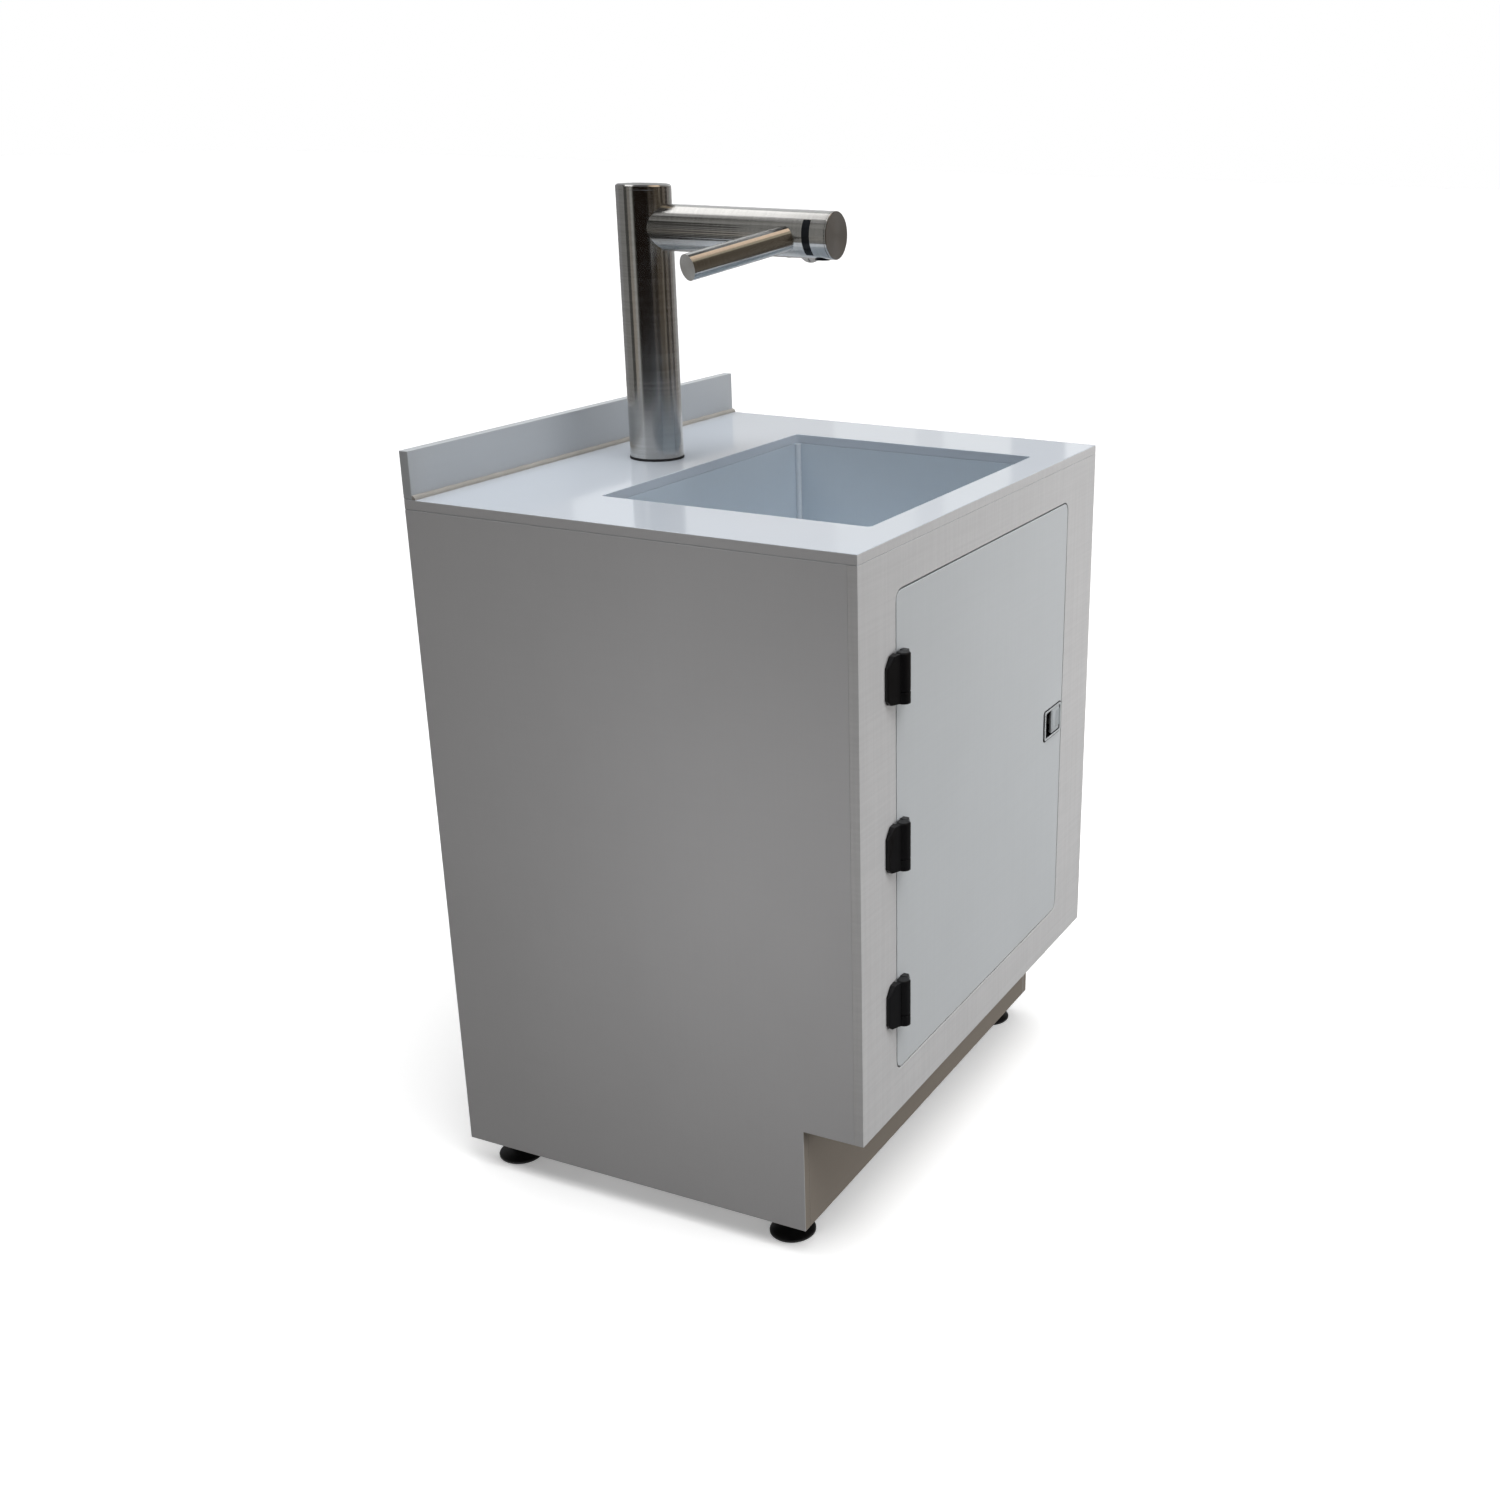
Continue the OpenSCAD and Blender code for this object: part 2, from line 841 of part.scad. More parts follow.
module motor_housing() {
    groove = 4;
    gland_r = 9;
    gland_h = 12;
    vent_r = 2.5;
    floor_t = 4;
    duct_l = 30;
    duct_r = spigot_r - 2;
    color("#2b2b2e")
        translate([air_x, tap_y, 0])
            difference() {
                union() {
                    translate([0, 0, motor_low])
                        rotate_extrude()
                            polygon([[0, 0], [motor_r - 16, 0], [motor_r - 6, 4],
                                [motor_r - 2, 14], [motor_r, 40], [motor_r, motor_h - 12],
                                [motor_r - groove, motor_h - 12],
                                [motor_r - groove, motor_h - 10], [motor_r, motor_h - 10],
                                [motor_r, motor_h - 4], [motor_r - 6, motor_h],
                                [0, motor_h]]);
                    translate([0, 0, motor_lid])
                        cylinder(r1 = spigot_r + 8, r2 = spigot_r, h = 2);
                    translate([0, 0, motor_lid])
                        cylinder(r = spigot_r, h = motor_spigot_top - motor_lid);
                    translate([0, -motor_r / 2, motor_low - gland_h])
                        cylinder(r = gland_r, h = gland_h);
                }
                translate([0, 0, motor_lid - duct_l])
                    cylinder(r = duct_r, h = motor_spigot_top - motor_lid + duct_l + over);
                translate([0, -motor_r / 2, motor_low - gland_h - over])
                    cylinder(r = gland_r / 2, h = gland_h + floor_t + over);
                for (ring = [14, 24], turn = [15 : 30 : 345])
                    rotate([0, 0, turn])
                        translate([ring, 0, motor_low - over])
                            cylinder(r = vent_r, h = floor_t);
            }
}

module motor_bracket() {
    band_low = motor_low + (motor_h - band_h) / 2;
    band_r = motor_r + seat_gap;
    lug_w = 30;
    lug_y = tap_y + band_r + band_t / 2;
    plate_w = 100;
    plate_t = 2;
    color("silver")
        translate([air_x, 0, band_low]) {
            translate([0, tap_y, 0])
                tube(band_r + band_t, band_r, band_h);
            translate([-lug_w / 2, lug_y, 0])
                cube([lug_w, back_front - lug_y, band_h]);
            translate([-plate_w / 2, back_front - plate_t, -band_h / 2])
                cube([plate_w, plate_t, 2 * band_h]);
        }
}

module water_hose() {
    bore = water_r - 2;
    color("lightgray") {
        translate([tail_x, tap_y, run_z + water_bend])
            tube(water_r, bore, hose_top - run_z - water_bend);
        translate([tail_x + water_bend, tap_y, run_z + water_bend])
            rotate([90, 0, 0])
                rotate([0, 0, 180])
                    tube_bend(water_bend, water_r, bore, 90);
        translate([tail_x + water_bend, tap_y, run_z])
            rotate([0, 90, 0])
                tube(water_r, bore, valve_x - tail_x - 2 * water_bend);
        translate([valve_x - water_bend, tap_y, run_z - water_bend])
            rotate([90, 0, 0])
                tube_bend(water_bend, water_r, bore, 90);
        translate([valve_x, tap_y, hose_foot])
            tube(water_r, bore, run_z - water_bend - hose_foot);
    }
}

// A hexagonal nut that grips a stud from above or below a solid end with a small bore
module hose_nut(af, stud_r, bore, grip, end) {
    difference() {
        hexagon(af, grip + end);
        translate([0, 0, end])
            cylinder(r = stud_r + run_gap, h = grip + over);
        translate([0, 0, -over])
            cylinder(r = bore, h = end + 2 * over);
    }
}

module hose_nuts() {
    color("lightgray") {
        translate([tail_x, tap_y, hose_top])
            hose_nut(tail_af, tail_r, tail_bore, nut_grip, nut_end);
        translate([valve_x, tap_y, hose_foot])
            mirror([0, 0, 1])
                hose_nut(outlet_af, outlet_r, tail_bore, outlet_grip, outlet_end);
    }
}

module valve_body() {
    bore = inlet_r - inlet_wall;
    color("silver")
        translate([valve_x, 0, outlet_z])
            difference() {
                union() {
                    along_y(body_r, valve_front, back_front - valve_front);
                    translate([0, back_front - flange_l, 0])
                        rotate([-90, 0, 0])
                            hexagon(flange_af, flange_l);
                    along_y(thread_r, back_front, thread_l);
                    along_y(inlet_r, back_front + thread_l, inlet_free);
                    translate([0, tap_y, 0])
                        cylinder(r = shoulder_r, h = shoulder_h);
                    translate([0, tap_y, shoulder_h])
                        cylinder(r = outlet_r, h = outlet_l);
                    along_y(bonnet_r, bonnet_end, bonnet_l + over);
                }
                along_y(bore, tap_y, back_y);
                translate([0, tap_y, 0])
                    cylinder(r = tail_bore, h = outlet_top);
                along_y(valve_stem_r + run_gap, bonnet_end - over, stem_in + 2 * over);
            }
}

module inlet_lock_nut() {
    color("silver")
        translate([valve_x, back_face, outlet_z])
            rotate([-90, 0, 0])
                difference() {
                    hexagon(inlet_nut_af, inlet_nut_h);
                    translate([0, 0, -over])
                        cylinder(r = thread_r + run_gap, h = inlet_nut_h + 2 * over);
                }
}

module valve_handle() {
    hub_l = 10;
    lever_l = 40;
    lever_w = 12;
    lever_t = 7;
    hub_y = bonnet_end - 1 - hub_l;
    color("firebrick")
        translate([valve_x, 0, outlet_z]) {
            along_y(valve_stem_r, hub_y, bonnet_end + stem_in - hub_y);
            along_y(lever_w, hub_y, hub_l);
            translate([0, hub_y, -lever_w / 2])
                cube([lever_l, lever_t, lever_w]);
            translate([lever_l, 0, 0])
                along_y(lever_w / 2, hub_y, lever_t);
        }
}

module drain_flange() {
    hole_r = 3;
    plate = 2;
    rows = [[0, 1], [10, 6], [21, 12]];
    neck_low = basin_under - neck_l;
    color("silver")
        translate([0, basin_y, 0])
            difference() {
                union() {
                    translate([0, 0, drain_low])
                        cylinder(r1 = flange_r, r2 = flange_r - 1.5, h = flange_t);
                    translate([0, 0, neck_low])
                        cylinder(r = neck_r, h = drain_low - neck_low);
                }
                translate([0, 0, neck_low - over])
                    cylinder(r = neck_r - 3, h = drain_low - plate - neck_low + over);
                for (row = rows, i = [1 : row[1]])
                    rotate([0, 0, i * 360 / row[1]])
                        translate([row[0], 0, drain_low - plate - over])
                            cylinder(r = hole_r, h = plate + flange_t + 2 * over);
            }
}

module drain_body() {
    bore = waste_r - waste_t;
    neck_low = basin_under - neck_l - seat_gap;
    cup_low = basin_under - ring_h - waste_cup_h;
    cone_low = cup_low - cup_cone;
    color("white")
        translate([0, basin_y, 0])
            difference() {
                union() {
                    translate([0, 0, cup_low])
                        cylinder(r = waste_cup_r, h = waste_cup_h);
                    translate([0, 0, cone_low])
                        cylinder(r1 = waste_r, r2 = waste_cup_r, h = cup_cone);
                    translate([0, 0, bend_top])
                        cylinder(r = waste_r, h = cone_low - bend_top);
                }
                translate([0, 0, neck_low])
                    cylinder(r = neck_r + run_gap, h = cup_seat);
                translate([0, 0, cone_low + waste_t])
                    cylinder(r1 = bore, r2 = neck_r - 3, h = neck_low - cone_low - waste_t);
                translate([0, 0, bend_top - over])
                    cylinder(r = bore, h = cone_low + waste_t - bend_top + over);
            }
}

// A slip nut with grip lugs, upwards from the origin
module slip_nut(r, bore, h) {
    lug_r = 2;
    difference() {
        union() {
            cylinder(r = r, h = h);
            for (turn = [0 : 45 : 315])
                rotate([0, 0, turn])
                    translate([r, 0, 0])
                        cylinder(r = lug_r, h = h);
        }
        translate([0, 0, -over])
            cylinder(r = bore, h = h + 2 * over);
    }
}

module drain_nuts() {
    color("white") {
        translate([0, basin_y, basin_under - ring_h])
            slip_nut(ring_r, neck_r + run_gap, ring_h);
        translate([0, basin_y, bend_top - slip_h / 2])
            slip_nut(slip_r, waste_r + run_gap, slip_h);
        translate([trap_x, elbow_end - slip_h / 2, outlet_z])
            rotate([-90, 0, 0])
                slip_nut(slip_r, waste_r + run_gap, slip_h);
    }
}

module trap_bend() {
    bore = waste_r - waste_t;
    color("white") {
        for (x = [0, trap_x])
            translate([x, basin_y, bend_top - trap_neck])
                tube(waste_r, bore, trap_neck);
        translate([trap_bend_r, basin_y, bend_top - trap_neck])
            rotate([90, 0, 0])
                rotate([0, 0, 180])
                    tube_bend(trap_bend_r, waste_r, bore, 180);
        translate([trap_x, basin_y + elbow_r, bend_top])
            rotate([90, 0, 90])
                rotate([0, 0, 90])
                    tube_bend(elbow_r, waste_r, bore, 90);
        translate([trap_x, elbow_end, outlet_z])
            rotate([90, 0, 0])
                tube(waste_r, bore, trap_neck);
    }
}

module waste_pipe() {
    pipe_l = back_face + waste_stub - elbow_end;
    bead_l = 5;
    color("white")
        translate([trap_x, 0, outlet_z])
            difference() {
                union() {
                    along_y(waste_r, elbow_end, pipe_l);
                    along_y(waste_r + 2, back_face - bead_l, bead_l);
                }
                along_y(waste_r - waste_t, elbow_end - over, pipe_l + 2 * over);
            }
}

module door_panel() {
    color("#d8dee0")
        difference() {
            front_plate(front_y, sheet_t)
                translate([open_x, open_z])
                    rrect(open_w - 2 * door_gap, open_h - 2 * door_gap,
                        opening_corner - door_gap);
            front_plate(front_y - over, sheet_t + 2 * over)
                translate([latch_x, open_z])
                    square([case_w + 2 * seat_gap, case_h + 2 * seat_gap], center = true);
        }
}

module latch_bezel() {
    color("lightgray")
        front_plate(front_y - bezel_out, bezel_out)
            translate([latch_x, open_z])
                difference() {
                    rrect(latch_w, latch_h, 5);
                    rrect(cup_w, cup_h, cup_corner);
                }
}

// Block in the latch's own frame, by its left, front and width, depth and height
module latch_block(x, y, w, d, h) {
    translate([latch_x + x, front_y + y, open_z - h / 2])
        cube([w, d, h]);
}

module latch_case() {
    web_y = recess_depth;
    channel_y = bolt_y - seat_gap;
    slot_left = neck_left - latch_travel - seat_gap;
    color("#202022")
        difference() {
            latch_block(-case_w / 2, 0, case_w, case_depth, case_h);
            latch_block(-cup_w / 2, -over, cup_w, web_y + over, cup_h);
            latch_block(slot_left, web_y - over, neck_w + latch_travel + 2 * seat_gap,
                channel_y - web_y + 2 * over, neck_h + 2 * seat_gap);
            latch_block(channel_left, channel_y, case_w, bolt_t + 2 * seat_gap, channel_h);
        }
}

module latch_slider() {
    color("silver") {
        front_plate(front_y - slider_out, slider_t)
            translate([latch_x + (slider_left + slider_right) / 2, open_z])
                rrect(slider_w, slider_h, cup_corner);
        latch_block(slider_left + cup_corner, -lip_out, lip_w, lip_out, slider_h - 2 * cup_corner);
        latch_block(neck_left, 0, neck_w, bolt_y, neck_h);
    }
}

module latch_bolt() {
    ramp = bolt_t - 2;
    color("dimgray")
        translate([latch_x, front_y + bolt_y, open_z - bolt_h / 2])
            linear_extrude(bolt_h)
                polygon([[bolt_left, 0], [bolt_right, 0], [bolt_right, bolt_t - ramp],
                    [bolt_right - ramp, bolt_t], [bolt_left, bolt_t]]);
}

// A point on the spring's wire: turn angle a, angle b round the wire
function spring_point(a, b, pitch) =
    let (r = spring_r + spring_wire / 2 * cos(b))
        [a / 360 * pitch + spring_wire / 2 * sin(b), r * cos(a), r * sin(a)];

module latch_spring() {
    rings = spring_turns * spring_steps;
    length = bolt_left - channel_left - 2 * seat_gap - spring_wire;
    pitch = length / spring_turns;
    points = [for (i = [0 : rings], j = [0 : spring_sides - 1])
        spring_point(360 * i / spring_steps, 360 * j / spring_sides, pitch)];
    walls = [for (i = [0 : rings - 1], j = [0 : spring_sides - 1])
        let (k = (j + 1) % spring_sides, a = i * spring_sides, b = a + spring_sides)
            each [[a + j, b + j, a + k], [a + k, b + j, b + k]]];
    first = [for (j = [1 : spring_sides - 2]) [0, j, j + 1]];
    last_ring = rings * spring_sides;
    last = [for (j = [1 : spring_sides - 2])
        [last_ring, last_ring + j + 1, last_ring + j]];
    turn = spring_steps * spring_sides;
    gap = min([for (i = [0 : len(points) - 1 - turn], j = [-spring_sides : spring_sides])
        let (k = i + turn + j)
            k < len(points) ? norm(points[i] - points[k]) : length]);
    echo("least gap between the spring's turns, mm", gap);
    color("silver")
        translate([latch_x + channel_left + seat_gap + spring_wire / 2,
            front_y + bolt_y + bolt_t / 2, open_z])
            polyhedron(points, concat(walls, first, last));
}

module foot_pad(i) {
    bore = stem_r + run_gap;
    color("#151515")
        translate([foot_spots[i][0], foot_spots[i][1], 0])
            rotate_extrude()
                polygon([[0, 0], [foot_r - 1.5, 0], [foot_r, 1.5], [foot_r, 3.5],
                    [foot_r - 1.5, 5.5], [foot_r * 0.75, foot_h * 0.65],
                    [stem_r + 7, foot_h * 0.85], [stem_r + 5, foot_h], [bore, foot_h],
                    [bore, foot_h - socket_h], [0, foot_h - socket_h]]);
}

module foot_stem(i) {
    color("silver")
        translate([foot_spots[i][0], foot_spots[i][1], 0]) {
            translate([0, 0, foot_h - socket_h + seat_gap])
                cylinder(r = stem_r, h = stem_l - foot_h + socket_h);
            translate([0, 0, foot_h + seat_gap])
                hexagon(nut_af, hex_h);
        }
}

worktop();
backsplash();
backsplash_bead();
side_panel_left();
side_panel_right();
back_panel();
base_panel();
front_frame();
toe_kick();
basin();
foot_blocks();
foot_lock_nuts();
latch_keeper();
hinge_frame_leaf_top();
hinge_frame_leaf_middle();
hinge_frame_leaf_bottom();
hinge_pins();
tap_column();
tap_cap();
tap_gasket();
tap_spout();
spout_end_disc();
dryer_arm_left();
dryer_arm_right();
sensor_windows();
aerator();
tap_shank();
tap_clamp_plate();
tap_clamp_nut();
air_hose();
motor_housing();
motor_bracket();
water_hose();
hose_nuts();
valve_body();
inlet_lock_nut();
valve_handle();
drain_flange();
drain_body();
drain_nuts();
trap_bend();
waste_pipe();
door_panel();
hinge_door_leaf_top();
hinge_door_leaf_middle();
hinge_door_leaf_bottom();
latch_bezel();
latch_case();
latch_slider();
latch_bolt();
latch_spring();
foot_pad(0);  // foot_pad_front_left
foot_pad(1);  // foot_pad_front_right
foot_pad(2);  // foot_pad_back_left
foot_pad(3);  // foot_pad_back_right
foot_stem(0);  // foot_stem_front_left
foot_stem(1);  // foot_stem_front_right
foot_stem(2);  // foot_stem_back_left
foot_stem(3);  // foot_stem_back_right
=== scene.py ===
"""Looks of a laboratory sink unit: fine shapes, materials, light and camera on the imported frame."""
import json
import math

import bmesh
import bpy
from mathutils import Matrix, Vector

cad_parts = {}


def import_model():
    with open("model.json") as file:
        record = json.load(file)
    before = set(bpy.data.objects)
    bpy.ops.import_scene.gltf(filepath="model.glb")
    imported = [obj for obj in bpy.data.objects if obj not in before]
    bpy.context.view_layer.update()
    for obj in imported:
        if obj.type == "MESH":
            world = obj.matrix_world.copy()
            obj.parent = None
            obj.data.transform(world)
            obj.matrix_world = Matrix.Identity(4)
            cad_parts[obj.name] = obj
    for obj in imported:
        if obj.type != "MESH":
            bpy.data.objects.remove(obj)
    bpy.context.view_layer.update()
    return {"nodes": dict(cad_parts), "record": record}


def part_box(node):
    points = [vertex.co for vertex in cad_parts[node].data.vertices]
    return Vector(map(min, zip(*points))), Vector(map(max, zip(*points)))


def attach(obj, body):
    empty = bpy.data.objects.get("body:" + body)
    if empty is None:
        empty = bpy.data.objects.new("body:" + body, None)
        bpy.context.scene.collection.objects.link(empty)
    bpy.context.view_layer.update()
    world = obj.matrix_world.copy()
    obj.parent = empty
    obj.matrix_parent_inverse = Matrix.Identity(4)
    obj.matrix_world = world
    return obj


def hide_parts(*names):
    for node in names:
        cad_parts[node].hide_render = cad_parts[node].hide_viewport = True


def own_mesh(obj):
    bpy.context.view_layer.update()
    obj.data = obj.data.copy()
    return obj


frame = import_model()
MM = 0.001


def middle(low, high):
    """The point halfway between two corners of a box."""
    return [(a + b) / 2 for a, b in zip(low, high)]


# The photograph's camera, fitted to the cabinet's edges
CAMERA_AT = (-1.9368, -1.1082, 1.3139)
CAMERA_AZIMUTH = -66.456
CAMERA_ELEVATION = 22.054
CAMERA_ROLL = 0.890
FOCAL_PIXELS = 1785.9
IMAGE_PIXELS = 1500
CENTRE_PIXELS = (975, 820)
SENSOR_MM = 36
FARTHEST_SEEN = 100

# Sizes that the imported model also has
BASIN_W = 462 * MM
BASIN_L = 348 * MM
BASIN_CORNER = 5 * MM
BASIN_FLOOR_Z = 630 * MM
SHANK_HOLE_R = 27.3 * MM
OPENING_CORNER = 14 * MM
DOOR_CORNER = 12 * MM
DOOR_GAP = 2 * MM
SPOUT_R = 27.3 * MM
ARM_SWEEP = 25
ARM_DROOP = 11
ARM_ROOT = 47 * MM
STEM_R = 6 * MM
THREAD_PITCH = 1.75 * MM
THREAD_DEPTH = 0.7 * MM
HEX_LOW = 8 * MM
HEX_H = 7 * MM
WINDOW_HALF = 5 * MM
WINDOW_UP = 40
WINDOW_DOWN = 55
DOT_R = 2.5 * MM
AERATOR_BORE = 6 * MM

# Rounding of edges
SHEET_EDGE = 0.8 * MM
TOP_EDGE = 0.9 * MM
FRAME_EDGE = 0.5 * MM
DOOR_EDGE = 0.6 * MM
DISC_EDGE = 0.8 * MM
CAP_EDGE = 0.5 * MM
PART_EDGE = 0.4 * MM
SHARP_ANGLE = 30
FLAT_ANGLE = 0.5

# Corners of a mesh that lie closer than this are one corner
NODE_JOIN = 0.002 * MM
PLATE_JOIN = 0.001 * MM

# The latch: rim, dark seat (a painted shadow line round the rim), gaps round the slider, ribs for the
# thumb; openings are width, height, corner
CUP_CLEAR = 0.4 * MM
CUP_CORNER = 0.5 * MM
SHADOW_SEAT_T = 0.8 * MM
SHADOW_SEAT_EDGE = 0.2 * MM
SHADOW_SEAT_CORNER = 5 * MM
SHADOW_SEAT_OPENING = (55 * MM, 37 * MM, 2 * MM)
RIM_T = 1.4 * MM
RIM_EDGE = 0.4 * MM
RIM_INSET = 1.6 * MM
RIM_CORNER = 4 * MM
RIM_OPENING = (52 * MM, 36 * MM, 2.4 * MM)
SLIDER_EDGE = 0.3 * MM
SLIDER_PLATE_T = 2.6 * MM
SLIDER_SIDE = 12 * MM
SLIDER_GAP = 1.6 * MM
SLIDER_GAP_RIGHT = 2.3 * MM
THUMB_GAP = 6.5 * MM
RIBS = 4
RIB_FROM = 5 * MM
RIB_STEP = 4 * MM
RIB_W = 1.2 * MM
RIB_L = 24 * MM
RIB_T = 1 * MM
RIB_EDGE = 0.3 * MM
RIB_CORNER = 0.55 * MM

# The slanted corners of the hinge leaves: how far each cut runs in, and how far it drops
LEAF_EDGE = 1 * MM
LEAF_TOP_RUN = 11 * MM
LEAF_TOP_DROP = 13 * MM
LEAF_FOOT_RUN = 7 * MM
LEAF_FOOT_DROP = 8 * MM

# Weld beads, screws, the edge of the feet's hexagons, and the bars in the water outlet
WELD_R = 4.2 * MM
WELD_IN = 2.2 * MM
WELD_UNEVEN = 0.06
SCREW_R = 3.6 * MM
SCREW_H = 2 * MM
SCREW_SIDES = 24
# The cross recess is drawn as dark bars set into the screw head: painted shade.
RECESS_SHADE_L = SCREW_R * 1.1
RECESS_SHADE_W = 0.8 * MM
RECESS_SHADE_T = 0.5 * MM
RECESS_SHADE_DEPTH = 0.18 * MM
RECESS_SHADE_EDGE = 0.1 * MM
RECESS_SHADE_CORNER = 0.3 * MM
HEX_EDGE = 0.5 * MM
BAR_R = 0.25 * MM
BAR_STEP = 1.6 * MM
BARS_UP = 1.6 * MM
BARS_APART = 0.4 * MM
BARS_EACH_SIDE = 3

# The stage: lengths in metres, the floor's colours, and the room that the tap's metal mirrors
AMBIENT = 0.0
FLOOR_HALF = 30
FLOOR_SEEN = 0.95
FLOOR_GLOW = 0.28
FLOOR_BOUNCE = (0.19, 0.18, 0.168, 1)
CARD_RADIUS = 1.8
CARD_STEP = 6
ROOM_H = 3.4
BACK_H = 2.6
LEFT_H = 2.2
SHELF_H = 2.5
SILL_H = 1.1
LINTEL_H = 1.45

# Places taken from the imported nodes
TOP_LOW, TOP_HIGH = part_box("worktop")
FRAME_LOW, FRAME_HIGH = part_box("front_frame")
DOOR_LOW, DOOR_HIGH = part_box("door_panel")
BEZEL_LOW, BEZEL_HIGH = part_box("latch_bezel")
CUP_LOW, CUP_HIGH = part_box("latch_case")
TAP_X, TAP_Y, _ = middle(*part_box("tap_column"))
SPOUT_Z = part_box("tap_spout")[1].z - SPOUT_R
BASIN_Y = middle(*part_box("drain_flange"))[1]


# Node graphs
def srgb(r, g, b):
    """Linear colour from 0-255 display values."""
    def linear(v):
        v = v / 255
        return v / 12.92 if v <= 0.04045 else ((v + 0.055) / 1.055) ** 2.4
    return (linear(r), linear(g), linear(b), 1)


def shade(colour, factor):
    """The same colour, lighter or darker."""
    return tuple(min(1, c * factor) for c in colour[:3]) + (1,)


class Graph:
    """A material's node tree with one short call for each kind of node."""

    def __init__(self, name):
        self.material = bpy.data.materials.new(name)
        self.material.use_nodes = True
        self.nodes = self.material.node_tree.nodes
        self.links = self.material.node_tree.links
        self.shader = self.nodes["Principled BSDF"]

    def set(self, values):
        """Plain values for sockets of the shader."""
        for socket, value in values.items():
            self.shader.inputs[socket].default_value = value

    def link(self, source, socket):
        """Joins an output to a socket of the shader."""
        self.links.new(source, self.shader.inputs[socket])

    def put(self, node, socket, value):
        """Gives a node's socket a link or a plain value."""
        if isinstance(value, bpy.types.NodeSocket):
            self.links.new(value, node.inputs[socket])
        else:
            node.inputs[socket].default_value = value

    def place(self, scale=(1, 1, 1)):
        """The piece's own coordinates in metres, stretched."""
        source = self.nodes.new("ShaderNodeTexCoord")
        mapping = self.nodes.new("ShaderNodeMapping")
        self.links.new(source.outputs["Object"], mapping.inputs["Vector"])
        mapping.inputs["Scale"].default_value = scale
        return mapping.outputs["Vector"]

    def split(self, vector):
        """The three parts of a vector."""
        node = self.nodes.new("ShaderNodeSeparateXYZ")
        self.links.new(vector, node.inputs[0])
        return node.outputs

    def join(self, x, y, z):
        """A vector from three parts."""
        node = self.nodes.new("ShaderNodeCombineXYZ")
        for i, value in enumerate((x, y, z)):
            self.put(node, i, value)
        return node.outputs[0]

    def noise(self, vector, scale, detail=2):
        """Soft noise, mostly between 0.3 and 0.7."""
        node = self.nodes.new("ShaderNodeTexNoise")
        self.links.new(vector, node.inputs["Vector"])
        node.inputs["Scale"].default_value = scale
        node.inputs["Detail"].default_value = detail
        return node.outputs["Fac"]

    def math(self, operation, a, b=0.5):
        """One sum of two values."""
        node = self.nodes.new("ShaderNodeMath")
        node.operation = operation
        self.put(node, 0, a)
        self.put(node, 1, b)
        return node.outputs[0]

    def spread(self, value, out_low=0, out_high=1, low=0.3, high=0.7):
        """Stretches a range of values, by default that of one noise, over another."""
        node = self.nodes.new("ShaderNodeMapRange")
        self.links.new(value, node.inputs["Value"])
        node.inputs["From Min"].default_value = low
        node.inputs["From Max"].default_value = high
        node.inputs["To Min"].default_value = out_low
        node.inputs["To Max"].default_value = out_high
        return node.outputs["Result"]

    def blend(self, factor, a, b):
        """A colour between two colours."""
        node = self.nodes.new("ShaderNodeMix")
        node.data_type = "RGBA"
        self.put(node, "Factor", factor)
        self.put(node, 6, a)
        self.put(node, 7, b)
        return node.outputs[2]

    def bump(self, height, distance, after=None):
        """Fine relief of a given depth in metres, on top of another one if given."""
        node = self.nodes.new("ShaderNodeBump")
        node.inputs["Strength"].default_value = 1
        node.inputs["Distance"].default_value = distance
        self.links.new(height, node.inputs["Height"])
        if after is not None:
            self.links.new(after, node.inputs["Normal"])
        return node.outputs["Normal"]

    def brush_round(self, axis, anisotropic):
        """Makes a metal whose brush lines run round an axis."""
        self.set({"Metallic": 1, "Anisotropic": anisotropic, "Anisotropic Rotation": 0.25})
        node = self.nodes.new("ShaderNodeTangent")
        node.direction_type = "RADIAL"
        node.axis = axis
        self.links.new(node.outputs["Tangent"], self.shader.inputs["Tangent"])


# Materials
def sheet_plastic(name, colour, rough, linen=0.0, wave=0.00012):
    """Extruded plastic sheet: even colour, a linen of fine crossed lines and a slow waviness."""
    along = 9
    across = 300
    peel = 0.000006
    g = Graph(name)
    cloud = g.noise(g.place(), scale=6, detail=3)
    tone = g.blend(g.spread(cloud), shade(colour, 0.985), shade(colour, 1.015))
    level = g.noise(g.place((along, along, across)), scale=1, detail=0)
    upright_lines = g.noise(g.place((across, across, along)), scale=1, detail=0)
    weave = g.spread(g.math("ADD", level, upright_lines), low=0.6, high=1.4)
    g.link(g.blend(g.math("MULTIPLY", weave, linen), tone, shade(colour, 0.8)), "Base Color")
    rub = g.noise(g.place((2, 2, 0.7)), scale=11, detail=3)
    g.link(g.spread(rub, rough * 0.95, rough * 1.08, low=0.35), "Roughness")
    slow = g.bump(g.noise(g.place(), scale=4, detail=1), wave)
    g.link(g.bump(g.noise(g.place(), scale=90), peel, slow), "Normal")
    g.set({"IOR": 1.49})
    return g.material


def brushed(name, colour, rough, axis):
    """Brushed metal whose fine lines run round an axis, with broader faint bands among them."""
    along = 10
    across = 420
    band_share = 0.1
    g = Graph(name)
    scale = {"X": (across, along, along), "Y": (along, across, along), "Z": (along, along, across)}[axis]
    line = g.noise(g.place(scale), scale=1, detail=1)
    band = g.noise(g.place(tuple(s * band_share for s in scale)), scale=1)
    g.link(g.blend(g.spread(line), shade(colour, 0.94), shade(colour, 1.05)), "Base Color")
    both = g.math("ADD", line, band)
    g.link(g.spread(both, rough - 0.015, rough + 0.02, low=0.6, high=1.4), "Roughness")
    g.brush_round(axis, 0.9)
    return g.material


